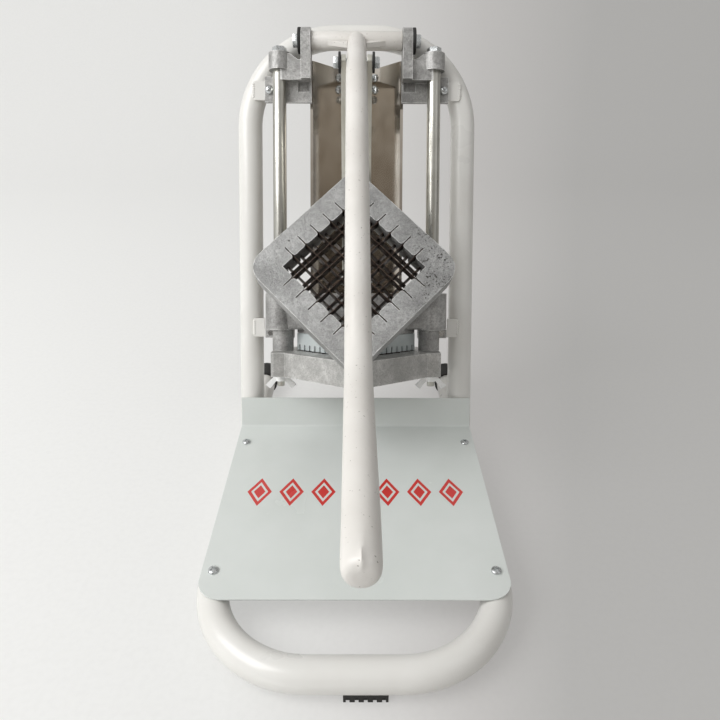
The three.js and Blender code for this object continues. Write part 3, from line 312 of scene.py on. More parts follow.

# %% [markdown]
# Rods, screws and the V sheet are bright metal. What tells them apart is how sharp their
# reflections are, and which way the polishing lines run. On the V sheet, the brown tint and the
# broad brown bands are a painted reflection. The wing nuts are zinc, but they are drawn near white
# and hardly metallic: that white is a painted reflection of the bright floor and base plate.

# %% Bright metals
def bright(name, light, dark, roughness, line_and_painted_band_mm, depth, stretch=(1, 1, 1), metallic=1.0):
    material, tree, shader, place = start(name)
    polish_lines_and_painted_bands = noise(tree, place, line_and_painted_band_mm, 4, 0.6, stretch)
    tone_cloud = noise(tree, place, 25, 3)
    colour = ramp(tree, tone_cloud, [(0.3, light), (0.72, dark)])
    # on the V sheet these broad dark bands are a painted reflection of the brown room; on rods and
    # bars they are polishing lines
    colour = mix(tree, ramp(tree, polish_lines_and_painted_bands, [(0.6, 0.0), (0.8, 0.3)]), colour, srgb("#6A655C"))
    dulled = ramp(tree, polish_lines_and_painted_bands, [(0.3, roughness), (0.75, roughness + 0.12)])
    tree.links.new(colour, shader.inputs["Base Color"])
    tree.links.new(dulled, shader.inputs["Roughness"])
    shader.inputs["Metallic"].default_value = metallic
    bump(tree, shader, polish_lines_and_painted_bands, depth)
    return material


chromed_rod = bright("ground and chromed steel rod", "#CDCCC5", "#B6B4AC",
                     roughness=0.26, line_and_painted_band_mm=4, depth=0.0001, stretch=(1, 1, 0.06))
# brown tint and broad brown bands: a painted reflection of the brown room
mirror_sheet_painted_reflection = bright("mirror-polished stainless sheet", "#D3CCC2", "#C3BAAE",
                      roughness=0.03, line_and_painted_band_mm=60, depth=0.05, stretch=(1, 1, 0.3))
zinc_plate = bright("bright zinc plating", "#DDE0E1", "#C8CBCB",
                    roughness=0.2, line_and_painted_band_mm=1.5, depth=0.02)
drawn_bar = bright("drawn steel bar", "#EDECE3", "#DBD9CD",
                   roughness=0.26, line_and_painted_band_mm=0.8, depth=0.01, stretch=(1, 1, 0.05))
# near white and hardly metallic: a painted reflection of the bright floor and base plate
wing_nut_painted_reflection = bright("zinc wing nut, whitened as painted reflection", "#FCFCFB", "#F2F3F2",
                    roughness=0.25, line_and_painted_band_mm=2.0, depth=0.01, metallic=0.1)
print("bright metals:", chromed_rod.name, mirror_sheet_painted_reflection.name, zinc_plate.name, drawn_bar.name,
      wing_nut_painted_reflection.name)

# %% [markdown]
# The blades are thin steel strip drawn in a dark brown. The brown is cloudy and not
# even, and dark streaks run through it.

# %% Dark brown blade strip
def blade_strip():
    material, tree, shader, place = start("dark brown steel strip")
    tone_cloud = noise(tree, place, 7, 5, 0.65)
    streak = noise(tree, place, 1.4, 4, 0.6)
    colour = ramp(tree, tone_cloud, [(0.3, "#362D29"), (0.5, "#4E4139"), (0.64, "#6C5C52"),
                                (0.8, "#9A9087")])
    colour = mix(tree, ramp(tree, streak, [(0.5, 0.0), (0.7, 0.5)]), colour, srgb("#2B2421"))
    tree.links.new(colour, shader.inputs["Base Color"])
    shader.inputs["Metallic"].default_value = 0.85
    tree.links.new(ramp(tree, tone_cloud, [(0.3, 0.55), (0.7, 0.3)]), shader.inputs["Roughness"])
    bump(tree, shader, streak, 0.05)
    return material


blade_steel = blade_strip()
print("blades:", blade_steel.name)

# %% [markdown]
# The pegs are milled from a slab of natural nylon, which is milky and lets a little light in. The
# feet and the washers are black rubber with a dusty bloom.

# %% Nylon and rubber
def soft_plastic(name, light, dark, bloom, roughness, grain_mm, depth):
    material, tree, shader, place = start(name)
    cloud = noise(tree, place, 14, 4)
    grain = noise(tree, place, grain_mm, 3, 0.6)
    colour = ramp(tree, cloud, [(0.3, light), (0.75, dark)])
    colour = mix(tree, ramp(tree, grain, [(0.55, 0.0), (0.8, 0.35)]), colour, srgb(bloom))
    dulled = ramp(tree, cloud, [(0.3, roughness), (0.7, roughness + 0.12)])
    tree.links.new(colour, shader.inputs["Base Color"])
    tree.links.new(dulled, shader.inputs["Roughness"])
    bump(tree, shader, grain, depth)
    return material


nylon = soft_plastic("natural nylon", "#CBD1D0", "#BCC4C4", "#B5BDBE",
                     roughness=0.38, grain_mm=1.0, depth=0.04)
nylon_inputs = nylon.node_tree.nodes["Principled BSDF"].inputs
nylon_inputs["Subsurface Weight"].default_value = 0.3
nylon_inputs["Subsurface Radius"].default_value = (1, 1, 1)
nylon_inputs["Subsurface Scale"].default_value = 2 * MM
rubber = soft_plastic("black rubber", "#20201F", "#2B2A28", "#4A4742",
                      roughness=0.62, grain_mm=0.7, depth=0.08)
print("plastics:", nylon.name, rubber.name)

# %% [markdown]
# No real edge is quite sharp, and the small round on it is what catches the light. Once a shape is
# rounded, it goes through the same last steps as all the others: its faces are shaded smooth, it
# gets its material, and it is tied to the body that it moves with.

# %% Finish a shape and put it in place
def corners_of(shape, degrees):
    return [e for e in shape.edges
            if len(e.link_faces) == 2 and e.calc_face_angle(0) > math.radians(degrees)]


def round_off(shape, edges, radius, segments=2):
    bmesh.ops.bevel(shape, geom=edges, offset=radius, offset_type="OFFSET", affect="EDGES",
                    segments=segments, profile=0.5, material=-1, clamp_overlap=True)


def shade(shape, sharp=math.radians(38)):
    """Smooth faces, but keep a crease where two faces meet at a real corner."""
    for face in shape.faces:
        face.smooth = True
    for edge in shape.edges:
        edge.smooth = len(edge.link_faces) == 2 and edge.calc_face_angle(0) < sharp


def show(shape, name, material):
    """Shades a shape, makes it an object of the scene, and clears the working copy."""
    shade(shape)
    mesh = bpy.data.meshes.new(name)
    shape.to_mesh(mesh)
    shape.free()
    piece = bpy.data.objects.new(name, mesh)
    bpy.context.scene.collection.objects.link(piece)
    piece.data.materials.clear()
    piece.data.materials.append(material)
    return piece


def put(shape, name, material, body):
    piece = show(shape, name, material)
    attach(piece, body)
    return piece


print("finishing helpers ready")

# %% [markdown]
# A casting never has a knife edge, and neither has folded sheet. Each such solid is copied, its
# flat faces are merged back from triangles, and every sharp edge gets a small round.

# %% Round the edges of a solid
MERGE_GAP = 0.01 * MM
FLAT = math.radians(0.6)


def body_of(node):
    bodies = frame["record"]["behaviour"]["bodies"]
    return next(name for name, nodes in bodies.items() if node in nodes)


def dress(node, material, radius_mm):
    shape = bmesh.new()
    shape.from_mesh(frame["nodes"][node].data)
    bmesh.ops.remove_doubles(shape, verts=shape.verts, dist=MERGE_GAP)
    bmesh.ops.dissolve_limit(shape, angle_limit=FLAT, use_dissolve_boundaries=False,
                             verts=shape.verts, edges=shape.edges)
    round_off(shape, corners_of(shape, 30), radius_mm * MM)
    piece = put(shape, f"{node}_rounded", material, body_of(node))
    flatten = piece.modifiers.new("flat faces stay flat", "WEIGHTED_NORMAL")
    flatten.keep_sharp, flatten.weight = True, 80
    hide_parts(node)


rounded = {
    "blade_block_frame": (cast_block_painted_light, 1.1), "spare_block_frame": (cast_spare_painted_shade, 1.1),
    "head_bracket_left": (cast_bracket, 0.9), "head_bracket_right": (cast_bracket, 0.9),
    "lower_bracket_left": (cast_bracket, 0.7), "lower_bracket_right": (cast_bracket, 0.7),
    "carriage": (cast_bracket, 1.2), "pusher_plate": (cast_bracket, 0.6),
    "peg_block": (nylon, 0.25),
    "base_plate": (sheet_enamel, 0.25), "front_foot": (rubber, 0.7),
    "rear_cap_left": (rubber, 0.9), "rear_cap_right": (rubber, 0.9),
    "upper_tab_left": (white_enamel, 0.6), "upper_tab_right": (white_enamel, 0.6),
    "lower_tab_left": (white_enamel, 0.6), "lower_tab_right": (white_enamel, 0.6),
    "lever_gusset_left": (lever_enamel, 0.6), "lever_gusset_right": (lever_enamel, 0.6),
    "wing_nut_left": (wing_nut_painted_reflection, 0.5), "wing_nut_right": (wing_nut_painted_reflection, 0.5),
    "link_left": (drawn_bar, 0.4), "link_right": (drawn_bar, 0.4),
    "trough_strap": (zinc_plate, 0.3),
}
for node, (material, radius_mm) in rounded.items():
    dress(node, material, radius_mm)
print("solids with rounded edges:", len(rounded))

# %% [markdown]
# A tube bender holds a straight tube and swings it round a former. The same moves make it here: a
# ring of points is extruded along each straight, and spun about the former's centre at each bend.

# %% Bend a tube
def ring_of(extruded):
    new = {v for v in extruded if isinstance(v, bmesh.types.BMVert)}
    return [e for e in extruded if isinstance(e, bmesh.types.BMEdge) and set(e.verts) <= new]


def run(shape, edges, step):
    """Extrudes a ring of edges by a vector and returns the new ring."""
    made = bmesh.ops.extrude_edge_only(shape, edges=edges)["geom"]
    new = [v for v in made if isinstance(v, bmesh.types.BMVert)]
    bmesh.ops.translate(shape, verts=new, vec=step)
    return ring_of(made)


def bent_tube(corners, radii, radius, sides=48, bend_steps=28):
    corners = [Vector(c) for c in corners]
    shape = bmesh.new()
    heading = (corners[1] - corners[0]).normalized()
    facing = heading.to_track_quat("Z", "Y").to_matrix().to_4x4()
    bmesh.ops.create_circle(shape, cap_ends=False, segments=sides, radius=radius,
                            matrix=Matrix.Translation(corners[0]) @ facing)
    ring, at = shape.edges[:], corners[0]
    for i, bend_radius in enumerate(radii, start=1):
        behind = (corners[i - 1] - corners[i]).normalized()
        ahead = (corners[i + 1] - corners[i]).normalized()
        half = behind.angle(ahead) / 2
        entry = corners[i] + behind * bend_radius / math.tan(half)
        centre = corners[i] + (behind + ahead).normalized() * bend_radius / math.sin(half)
        ring = run(shape, ring, entry - at)
        axis = (entry - centre).cross(-behind).normalized()
        swung = bmesh.ops.spin(shape, geom=ring, cent=centre, axis=axis,
                               angle=math.pi - 2 * half, steps=bend_steps, use_merge=False)
        ring = ring_of(swung["geom_last"])
        at = corners[i] + ahead * bend_radius / math.tan(half)
    ring = run(shape, ring, corners[-1] - at)
    return shape, ring


print("tube bender ready")

# %% [markdown]
# The stand is two such loops. The base lies flat with its open ends to the rear, where the rubber
# caps sit. The upright is drawn standing straight, and leans back when it is put in place.

# %% The stand's two loops
WELD_GAP = 0.002 * MM


def close_up(shape, name, material, body, node, matrix=None):
    """Caps what is open, turns the faces outwards and puts the piece in place."""
    bmesh.ops.holes_fill(shape, edges=[e for e in shape.edges if e.is_boundary])
    if matrix is not None:
        bmesh.ops.transform(shape, matrix=matrix, verts=shape.verts)
    bmesh.ops.remove_doubles(shape, verts=shape.verts, dist=WELD_GAP)
    bmesh.ops.recalc_face_normals(shape, faces=shape.faces)
    piece = put(shape, name, material, body)
    if node:
        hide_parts(node)
    return piece


rail_end, base_bend_r = 415 * MM, 80 * MM
base, _ = bent_tube([(-HALF_FRAME, rail_end, RAIL_Z), (-HALF_FRAME, 0, RAIL_Z),
                     (HALF_FRAME, 0, RAIL_Z), (HALF_FRAME, rail_end, RAIL_Z)],
                    [base_bend_r, base_bend_r], TUBE_R)
close_up(base, "base_tube_bent", white_enamel, "frame", "base_tube")
upright_foot, upright_top, upright_bend_r = -8 * MM, 411.4 * MM, 95 * MM
loop, _ = bent_tube([(-HALF_FRAME, 0, upright_foot), (-HALF_FRAME, 0, upright_top),
                     (HALF_FRAME, 0, upright_top), (HALF_FRAME, 0, upright_foot)],
                    [upright_bend_r, upright_bend_r], TUBE_R)
close_up(loop, "upright_tube_bent", white_enamel, "frame", "upright_tube", SLOPE)
print("stand tubes bent")

# %% [markdown]
# The tabs are stick-welded to the uprights. A weld bead is a row of overlapping puddles, so its
# thickness swells and shrinks along its length. The enamel went on over it.

# %% Weld beads
BEAD_R, PUDDLE, BEAD_STEP = 2.0 * MM, 2.2 * MM, 0.45 * MM
BEAD_SWELL = 0.14
BEAD_END_SHARE, BEAD_TAPER = 0.35, 6


def weld_bead(name, start_mm, end_mm):
    shape = bmesh.new()
    first, last = Vector(start_mm) * MM, Vector(end_mm) * MM
    turn = (last - first).to_track_quat("Z", "Y").to_matrix().to_4x4()
    length = (last - first).length
    steps = int(length / BEAD_STEP)
    before = None
    for k in range(steps + 1):
        along = k / steps
        swell = 1 + BEAD_SWELL * math.sin(along * length / PUDDLE * math.tau)
        taper = min(1, BEAD_END_SHARE + BEAD_TAPER * min(along, 1 - along))
        made = bmesh.ops.create_circle(shape, cap_ends=False, segments=12,
                                       radius=BEAD_R * swell * taper,
                                       matrix=Matrix.Translation(first.lerp(last, along)) @ turn)
        edges = list(dict.fromkeys(e for v in made["verts"] for e in v.link_edges if e.is_wire))
        if before:
            bmesh.ops.bridge_loops(shape, edges=before + edges)
        before = edges
    close_up(shape, name, white_enamel, "frame", None, SLOPE)


for side, name in SIDES:
    for level, x, y, low, high in (("upper", 108.4, -12.3, 342.6, 361.4),
                                   ("lower", 109.4, -12.4, 92.2, 111.0)):
        weld_bead(f"{level}_tab_weld_{name}", (side * x, y, low), (side * x, y, high))
print("weld beads laid")

# %% [markdown]
# The lever is one tube with two bends. Its end was pinched shut in a vice and painted over by
# brush, so the last rings shrink to a blunt tip, with a low seam along the top where the walls
# met.

# %% The lever
PIVOT = SLOPE @ Vector((0, -26 * MM, 399 * MM))
LEVER_R = 19.05 / 2 * MM
FIRST_SLOPE, MIDDLE_SLOPE = math.radians(10.4), math.radians(36.7)
BEND_1_REACH, BEND_2_REACH, LEVER_REACH = 118, 343, 488
SKEW = 3.5 / 400  # the lever drifts this far to the right for each mm that it comes forward
bend_1 = Vector((0, -BEND_1_REACH, -BEND_1_REACH * math.tan(FIRST_SLOPE))) * MM
middle_run = BEND_2_REACH - BEND_1_REACH
bend_2 = Vector((SKEW * middle_run, -BEND_2_REACH,
                 bend_1.z / MM - middle_run * math.tan(MIDDLE_SLOPE))) * MM
tip = Vector((SKEW * (LEVER_REACH - BEND_1_REACH) * MM, -LEVER_REACH * MM, bend_2.z))
lever, ring = bent_tube([PIVOT, PIVOT + bend_1, PIVOT + bend_2, PIVOT + tip],
                        [90 * MM, 70 * MM], LEVER_R, sides=40, bend_steps=20)
# each ring: its share of the tube's radius, its step in mm, and the seam's height in mm
pinched = ((1.0, 5, 0.0), (1.0, 5, 0.0), (1.0, 5, 0.1), (1.0, 5, 0.25), (0.995, 4, 0.35),
           (0.98, 3, 0.4), (0.94, 2.2, 0.4), (0.85, 1.6, 0.4), (0.68, 1.1, 0.3), (0.4, 0.5, 0.1))
SEAM_HALF_WIDTH = 1.5 * MM
SEAM_FORWARD = 1.8
for squeeze, step, ridge in pinched:
    ring = run(lever, ring, Vector((0, -step * MM, 0)))
    points = list(dict.fromkeys(v for e in ring for v in e.verts))
    middle = sum((v.co for v in points), Vector()) / len(points)
    present = sum((v.co - middle).length for v in points) / len(points)
    bmesh.ops.scale(lever, verts=points, vec=(LEVER_R * squeeze / present,) * 3,
                    space=Matrix.Translation(-middle))
    for v in points:
        if v.co.z > middle.z:
            near = math.exp(-((v.co.x - middle.x) / SEAM_HALF_WIDTH) ** 2)
            v.co += Vector((0, -SEAM_FORWARD * (1 - squeeze), 1)) * near * ridge * MM
close_up(lever, "lever_bent", lever_enamel, "lever", "lever")
print("lever reach in mm:", round(-tip.y / MM))

# %% [markdown]
# Rods, bolts and washers are turned. A lathe tool follows a profile while the bar spins, and the
# spin operator does the same with a few points drawn as radius and height.

# %% Turn a profile
SPIN_GAP = 0.005 * MM


def turned(profile, matrix, node, material, body, sides=40, bevel_mm=0.0):
    """profile: (radius, height) in mm, end to end, closed on the axis where radius is 0."""
    shape = bmesh.new()
    points = [shape.verts.new((r * MM, 0, h * MM)) for r, h in profile]
    edges = [shape.edges.new(pair) for pair in zip(points, points[1:])]
    if profile[0][0] > 0:
        edges.append(shape.edges.new((points[-1], points[0])))
    bmesh.ops.spin(shape, geom=points + edges, cent=(0, 0, 0), axis=(0, 0, 1), angle=math.tau,
                   steps=sides, use_merge=True)
    bmesh.ops.remove_doubles(shape, verts=shape.verts, dist=SPIN_GAP)
    if bevel_mm:
        bmesh.ops.recalc_face_normals(shape, faces=shape.faces)
        round_off(shape, corners_of(shape, 40), bevel_mm * MM)
    return close_up(shape, f"{node}_turned", material, body, node, matrix)


def ring_profile(inner, outer, low, high):
    return [(inner, low), (outer, low), (outer, high), (inner, high)]


def centre_of(node):
    low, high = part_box(node)
    return (Vector(low) + Vector(high)) / 2


ALONG_X = Matrix.Rotation(math.pi / 2, 4, "Y")
print("lathe ready")

# %% [markdown]
# The guide rods have a thin stud at the foot that carries the blade block, then a shoulder. The
# washers are plain rings, and the crossbar of the lever is a bar with rubbed edges.

# %% Rods, washers and crossbar
ROD_R, STUD_R, STUD_TIP_R = 7, 4, 3.4
STUD_FOOT, SHOULDER, ROD_TOP = 40, 78.7, 380.3
CROSSBAR_R, CROSSBAR_HALF = 9.525, 46.7
rod_profile = [(0, STUD_FOOT), (STUD_TIP_R, STUD_FOOT), (STUD_R, STUD_FOOT + 0.8),
               (STUD_R, SHOULDER), (ROD_R, SHOULDER), (ROD_R, ROD_TOP), (0, ROD_TOP)]
for side, name in SIDES:
    turned(rod_profile, SLOPE @ place_at(side * ROD_X, ROD_Y, 0),
           f"guide_rod_{name}", chromed_rod, "frame", sides=56, bevel_mm=0.3)
    turned(ring_profile(4.5, 9, 0, 1.6), SLOPE @ place_at(side * ROD_X, ROD_Y, 51.5),
           f"stud_washer_{name}", zinc_plate, "frame", bevel_mm=0.2)
    for washer, inner, outer, thick in (("pivot_washer", 4.8, 13, 3.2),
                                        ("link_washer", 3.8, 9.5, 2.2)):
        turned(ring_profile(inner, outer, -thick / 2, thick / 2),
               Matrix.Translation(centre_of(f"{washer}_{name}")) @ ALONG_X,
               f"{washer}_{name}", rubber, "lever", sides=48, bevel_mm=0.4)
turned([(0, -CROSSBAR_HALF), (CROSSBAR_R, -CROSSBAR_HALF), (CROSSBAR_R, CROSSBAR_HALF),
        (0, CROSSBAR_HALF)], Matrix.Translation(centre_of("lever_crossbar")) @ ALONG_X,
       "lever_crossbar", lever_enamel, "lever", sides=48, bevel_mm=0.5)
print("turned pieces placed")

# %% [markdown]
# The screws have domed heads with a cross recess, pressed in by a punch. A short cross of two bars
# is cut out of the turned head, which leaves the recess with walls that shade like the real one.

# %% Cross-recess screws
CROSS_TURN = 0.5
RIM_SHARE = 0.3
DOME_DEGREES = (0, 20, 40, 60, 78)


def cross_recess(head, top, width, reach, depth, matrix):
    cutter_shape = bmesh.new()
    for turn in (0, math.pi / 2):
        made = bmesh.ops.create_cube(cutter_shape, size=1.0)["verts"]
        bmesh.ops.scale(cutter_shape, verts=made, vec=(reach * MM, width * MM, 2 * depth * MM))
        bmesh.ops.rotate(cutter_shape, verts=made, cent=(0, 0, 0),
                         matrix=Matrix.Rotation(turn + CROSS_TURN, 3, "Z"))
        bmesh.ops.translate(cutter_shape, verts=made, vec=(0, 0, top * MM))
    bmesh.ops.transform(cutter_shape, matrix=matrix, verts=cutter_shape.verts)
    cutter_mesh = bpy.data.meshes.new("recess")
    cutter_shape.to_mesh(cutter_mesh)
    cutter_shape.free()
    cutter = bpy.data.objects.new("recess", cutter_mesh)
    bpy.context.scene.collection.objects.link(cutter)
    cut = head.modifiers.new("recess", "BOOLEAN")
    cut.operation, cut.object, cut.solver, cut.use_self = "DIFFERENCE", cutter, "EXACT", True
    bpy.context.view_layer.update()
    evaluated = head.evaluated_get(bpy.context.evaluated_depsgraph_get())
    finished = bpy.data.meshes.new_from_object(evaluated)
    head.modifiers.clear()
    old = head.data
    head.data = finished
    bpy.data.meshes.remove(old)
    bpy.data.objects.remove(cutter)


def pan_screw(node, matrix, head_r, head_h, shank_r, length):
    """The head's rim stands straight for a share of its height, and a dome closes it."""
    dome = [(head_r * math.cos(a), head_h * (RIM_SHARE + (1 - RIM_SHARE) * math.sin(a)))
            for a in map(math.radians, DOME_DEGREES)]
    profile = [(0, -length), (shank_r, -length), (shank_r, 0), (head_r, 0)] + dome + [(0, head_h)]
    piece = turned(profile, matrix, node, zinc_plate, "frame", sides=32)
    cross_recess(piece, top=head_h, width=head_r * 0.26, reach=head_r * 1.15,
                 depth=head_h * 0.55, matrix=matrix)


print("screw maker ready")

# %% [markdown]
# Four screws hold the sheet, two the head and two the lower brackets. Four more hold the V sheet
# and look out of its walls, which stand at 45 degrees on both sides of the fold.

# %% Place the screws
FORWARD, BACKWARD = (Matrix.Rotation(turn * math.pi / 2, 4, "X") for turn in (1, -1))
SHEET_HEAD_H = 2.2
FOLD_Y, WALL_X = 40.77, 20
WALL_Y = FOLD_Y - WALL_X
SEAT_GAP = 0.3 / math.sqrt(2)
for place_name in ("rear_left", "rear_right", "front_left", "front_right"):
    low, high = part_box(f"plate_screw_{place_name}")
    where = Matrix.Translation(((low[0] + high[0]) / 2, (low[1] + high[1]) / 2,
                                high[2] - SHEET_HEAD_H * MM))
    pan_screw(f"plate_screw_{place_name}", where,
              head_r=4.2, head_h=SHEET_HEAD_H, shank_r=2.0, length=6)
for side, name in SIDES:
    pan_screw(f"head_screw_{name}", SLOPE @ place_at(side * 91, -19.6, 351) @ FORWARD,
              head_r=4.4, head_h=3.4, shank_r=3.0, length=9)
    pan_screw(f"lower_screw_{name}", SLOPE @ place_at(side * 91.5, -9.7, 95.9) @ BACKWARD,
              head_r=4.1, head_h=3.4, shank_r=3.0, length=9)
    for level, z in (("upper", 375.4), ("lower", 362.4)):
        on_wall = (SLOPE @ place_at(side * (WALL_X - SEAT_GAP), WALL_Y - SEAT_GAP, z)
                   @ Matrix.Rotation(-side * math.pi / 4, 4, "Z") @ FORWARD)
        pan_screw(f"trough_screw_{level}_{name}", on_wall,
                  head_r=4.5, head_h=2.4, shank_r=2.0, length=4.3)
print("cross-recess screws placed")

# %% [markdown]
# Hex heads are forged, then a chamfer is turned on them. A six-sided prism gets the chamfer by
# cutting its corners with a cone, which here is a small bevel of the top edges.

# %% Hex heads
CHAMFER = 0.8 * MM


def hex_head(node, matrix, across_flats, height, shank_r, length, body):
    shape = bmesh.new()
    corner_r = across_flats / math.sqrt(3) * MM
    bmesh.ops.create_cone(shape, cap_ends=True, segments=6, radius1=corner_r, radius2=corner_r,
                          depth=height * MM, matrix=place_at(0, 0, height / 2))
    top = [e for e in shape.edges if all(v.co.z > (height - 0.1) * MM for v in e.verts)]
    round_off(shape, top, CHAMFER)
    bmesh.ops.create_cone(shape, cap_ends=True, segments=28, radius1=shank_r * MM,
                          radius2=shank_r * MM, depth=length * MM,
                          matrix=place_at(0, 0, -length / 2))
    bmesh.ops.transform(shape, matrix=matrix, verts=shape.verts)
    piece = put(shape, f"{node}_forged", zinc_plate, body)
    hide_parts(node)


HEAD_TURN, PIVOT_HEAD_X = 0.3, 60.8
for side, name in SIDES:
    hex_head(f"rod_bolt_{name}", SLOPE @ place_at(side * ROD_X, ROD_Y, 386.9)
             @ Matrix.Rotation(HEAD_TURN * side, 4, "Z"),
             across_flats=13, height=6, shank_r=4, length=12, body="frame")
    hex_head(f"pivot_bolt_{name}", Matrix.Translation((PIVOT_HEAD_X * side * MM, PIVOT.y, PIVOT.z))
             @ Matrix.Rotation(side * math.pi / 2, 4, "Y"),
             across_flats=13, height=5, shank_r=4.5, length=26, body="lever")
bolt_head_h = 4.5
pin = centre_of("link_bolt")
bolt_low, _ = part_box("link_bolt")
nut_low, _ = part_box("link_nut")
hex_head("link_bolt", Matrix.Translation((bolt_low[0] + bolt_head_h * MM, pin.y, pin.z))
         @ Matrix.Rotation(-math.pi / 2, 4, "Y"),
         across_flats=10, height=bolt_head_h, shank_r=3.5, length=38, body="lever")
hex_head("link_nut", Matrix.Translation((nut_low[0], pin.y, pin.z)) @ ALONG_X,
         across_flats=10, height=4.2, shank_r=3.4, length=0.2, body="lever")
print("hex heads placed")

# %% [markdown]
# The pin that joins the links to the carriage is a plain bar with a round head at each end,
# chamfered so that it doesn't catch the hand.

# %% The lower link pin
PIN_R, PIN_HEAD_R, PIN_HALF, PIN_NECK = 4, 6, 17.1, 14.6
PIN_CHAMFER = 0.6
pin_end = [(0, PIN_HALF), (PIN_HEAD_R - PIN_CHAMFER, PIN_HALF),
           (PIN_HEAD_R, PIN_HALF - PIN_CHAMFER), (PIN_HEAD_R, PIN_NECK), (PIN_R, PIN_NECK)]
pin_profile = [(r, -h) for r, h in pin_end] + pin_end[::-1]
turned(pin_profile, Matrix.Translation(centre_of("lower_link_pin")) @ ALONG_X,
       "lower_link_pin", zinc_plate, "links")
print("pin profile points:", len(pin_profile))

# %% [markdown]
# What is left keeps its own solid and only needs its surface: the thin blades and the V sheet,
# whose edges are sheared square.

# %% Surfaces for the solids that stay
stays = {"trough": mirror_sheet_painted_reflection}
for block in ("blade_block", "spare_block"):
    for layer in ("front_blades", "rear_blades"):
        stays[f"{block}_{layer}"] = blade_steel
for node, material in stays.items():
    solid = frame["nodes"][node]
    solid.data.materials.clear()
    solid.data.materials.append(material)
print("solids that keep their shape:", len(stays))

# %% [markdown]
# The tool stands on one sweep of pale paper that curves up behind it, so that no edge shows. The
# paper is lighter towards the window on the left and darker on the right. Eyes and mirrors get
# most of that tone from the sheet itself, which keeps it even out to the corners. The rest is lit,
# and keeps the stand's shadow.

# %% The paper's tone
GLOW_SHARE = 0.6
FAN_CENTRE, FAN_NEAREST, FAN_EDGE = 0.5, 0.45, 0.52


def paper():
    """The shade fans out from the front of the stand, as it does beside a window's edge."""
    material, tree, shader, place = start("pale paper")
    spot = add(tree, "ShaderNodeSeparateXYZ", {"Vector": place}).outputs
    away = maths(tree, "MAXIMUM", maths(tree, "ADD", spot["Y"], FAN_CENTRE), FAN_NEAREST)
    across = span(tree, maths(tree, "DIVIDE", spot["X"], away), -FAN_EDGE, FAN_EDGE)
    tone = ramp(tree, across, [(0.0, "#F1F1EF"), (0.32, "#ECECEA"), (0.5, "#DFDEDC"),
                               (0.66, "#C9C7C5"), (0.8, "#BAB9B7"), (1.0, "#B9B8B6")])
    fibre = noise(tree, place, 5, 3)
    tone = mix(tree, ramp(tree, fibre, [(0.4, 0.0), (0.7, 0.03)]), tone, srgb("#8E8A87"))
    tree.links.new(tone, shader.inputs["Base Color"])
    shader.inputs["Roughness"].default_value = 0.9
    shader.inputs["Specular IOR Level"].default_value = 0.1
    glow = add(tree, "ShaderNodeEmission", {"Color": tone, "Strength": 1.0}).outputs["Emission"]
    ray = add(tree, "ShaderNodeLightPath").outputs
    looked_at = maths(tree, "MAXIMUM", ray["Is Camera Ray"], ray["Is Glossy Ray"])
    share = maths(tree, "MULTIPLY", looked_at, GLOW_SHARE)
    both = add(tree, "ShaderNodeMixShader", {0: share, 1: shader.outputs["BSDF"], 2: glow})
    tree.links.new(both.outputs["Shader"], tree.nodes["Material Output"].inputs["Surface"])
    return material


paper_tone = paper()
print("paper:", paper_tone.name)

# %% [markdown]
# The sheet of paper is one flat grid. Its rear edge is pulled up, and the fold between is rounded
# widely, as a hanging roll of paper falls.

# %% Paper sweep
SWEEP_HALF_X, SWEEP_HALF_Y, SWEEP_Y = 9, 6, -3.6
SWEEP_HEIGHT, SWEEP_ROUND = 3.5, 0.9
BELOW_FEET = -0.0002
NEAR_REAR = 2
sweep = bmesh.new()
bmesh.ops.create_grid(sweep, x_segments=1, y_segments=1, size=1.0)
bmesh.ops.scale(sweep, verts=sweep.verts, vec=(SWEEP_HALF_X, SWEEP_HALF_Y, 1))
bmesh.ops.translate(sweep, verts=sweep.verts, vec=(0, SWEEP_Y, BELOW_FEET))
back = [e for e in sweep.edges if all(v.co.y > NEAR_REAR for v in e.verts)]
run(sweep, back, Vector((0, 0, SWEEP_HEIGHT)))
fold = [e for e in sweep.edges if all(v.co.y > NEAR_REAR and abs(v.co.z) < 0.01 for v in e.verts)]
round_off(sweep, fold, SWEEP_ROUND, segments=14)
backdrop = show(sweep, "paper_sweep", paper_tone)
print("paper sweep laid")

# %% [markdown]
# One broad lamp on the left stands for the window. A weak one on the right stands for the light
# that a wall throws back, so that no side of the tool goes black.

# %% Lights
AIM = Vector((0, 0.25, 0.2))


def soft_box(name, place, size, power):
    light = bpy.data.lights.new(name, "AREA")
    light.shape, light.size, light.size_y = "RECTANGLE", size[0], size[1]
    light.energy, light.color = power, srgb("#FFFFFF")[:3]
    lamp = bpy.data.objects.new(name, light)
    lamp.location = place
    lamp.rotation_euler = (AIM - Vector(place)).to_track_quat("-Z", "Y").to_euler()
    bpy.context.scene.collection.objects.link(lamp)


soft_box("window", (-1.5, -0.5, 1.7), (1.6, 1.4), 34)
soft_box("fill", (1.4, -0.4, 1.3), (1.0, 1.4), 2)

# %% [markdown]
# The room is bright towards the window on the left and dim on the right. Bright metal also mirrors
# the unlit brown part of the room behind the viewer, which only glossy rays are shown.

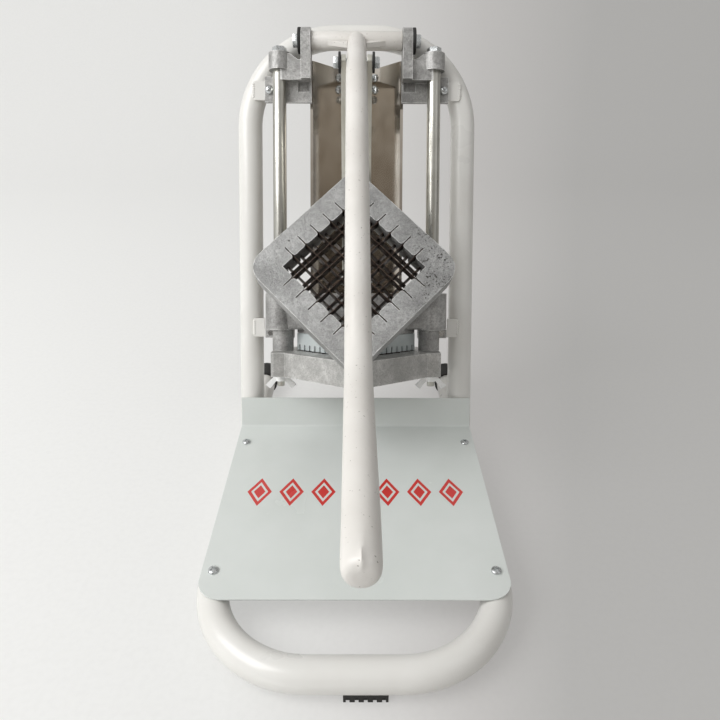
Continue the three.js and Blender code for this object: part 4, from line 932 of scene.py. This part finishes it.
# %% The room
def room():
    sky = bpy.data.worlds.new("room")
    sky.use_nodes = True
    tree = sky.node_tree
    direction = add(tree, "ShaderNodeTexCoord").outputs["Generated"]
    way = add(tree, "ShaderNodeSeparateXYZ", {"Vector": direction}).outputs
    daylight = ramp(tree, span(tree, way["X"], -1.0, 1.0),
                    [(0.0, "#FFFFFF"), (0.5, "#E0DFDD"), (1.0, "#8E8C8A")])
    behind_viewer = span(tree, way["Y"], -0.97, -0.8, 1.0, 0.0)
    ray = add(tree, "ShaderNodeLightPath").outputs
    dim = maths(tree, "MULTIPLY", behind_viewer, ray["Is Glossy Ray"])
    furniture = add(tree, "ShaderNodeTexNoise", {
        "Vector": direction, "Scale": 6.0, "Detail": 1.0}).outputs["Fac"]
    brown = ramp(tree, furniture, [(0.4, "#3B352F"), (0.45, "#6A5D50"), (0.56, "#786C60"),
                                   (0.62, "#A39A8E")])
    lit = mix(tree, dim, daylight, brown)
    seen = mix(tree, ray["Is Camera Ray"], lit, srgb("#F6F5F3"))
    tree.links.new(seen, tree.nodes["Background"].inputs["Color"])
    tree.nodes["Background"].inputs["Strength"].default_value = 0.75
    return sky


bpy.context.scene.world = room()
print("room:", bpy.context.scene.world.name)

# %% [markdown]
# The camera stands close in front of the tool, a little above it, and looks down by 25.5 degrees.
# That closeness is why the lever's end looks so large and the head so small.

# %% Camera
FOCAL_PX, PICTURE_PX, CENTRE_ROW = 641, 720, 317
SENSOR = 36
LOOK_DOWN, TILT = 25.5, 0.3
view = bpy.data.cameras.new("camera")
view.sensor_width = SENSOR
view.lens = FOCAL_PX / PICTURE_PX * SENSOR
view.shift_y = (CENTRE_ROW - PICTURE_PX / 2) / PICTURE_PX
eye = bpy.data.objects.new("camera", view)
eye.location = (0.001, -0.2996, 0.4386)
eye.rotation_euler = (Matrix.Rotation(math.radians(-TILT), 4, "Z")
                      @ Matrix.Rotation(math.radians(90 - LOOK_DOWN), 4, "X")
                      @ Matrix.Rotation(math.radians(TILT), 4, "Z")).to_euler()
bpy.context.scene.collection.objects.link(eye)
bpy.context.scene.camera = eye
bpy.context.scene.view_settings.view_transform = "Standard"
print("lens in mm:", round(view.lens, 2))

# %% [markdown]
# The scene is finished.

# %% Finish
print("done")
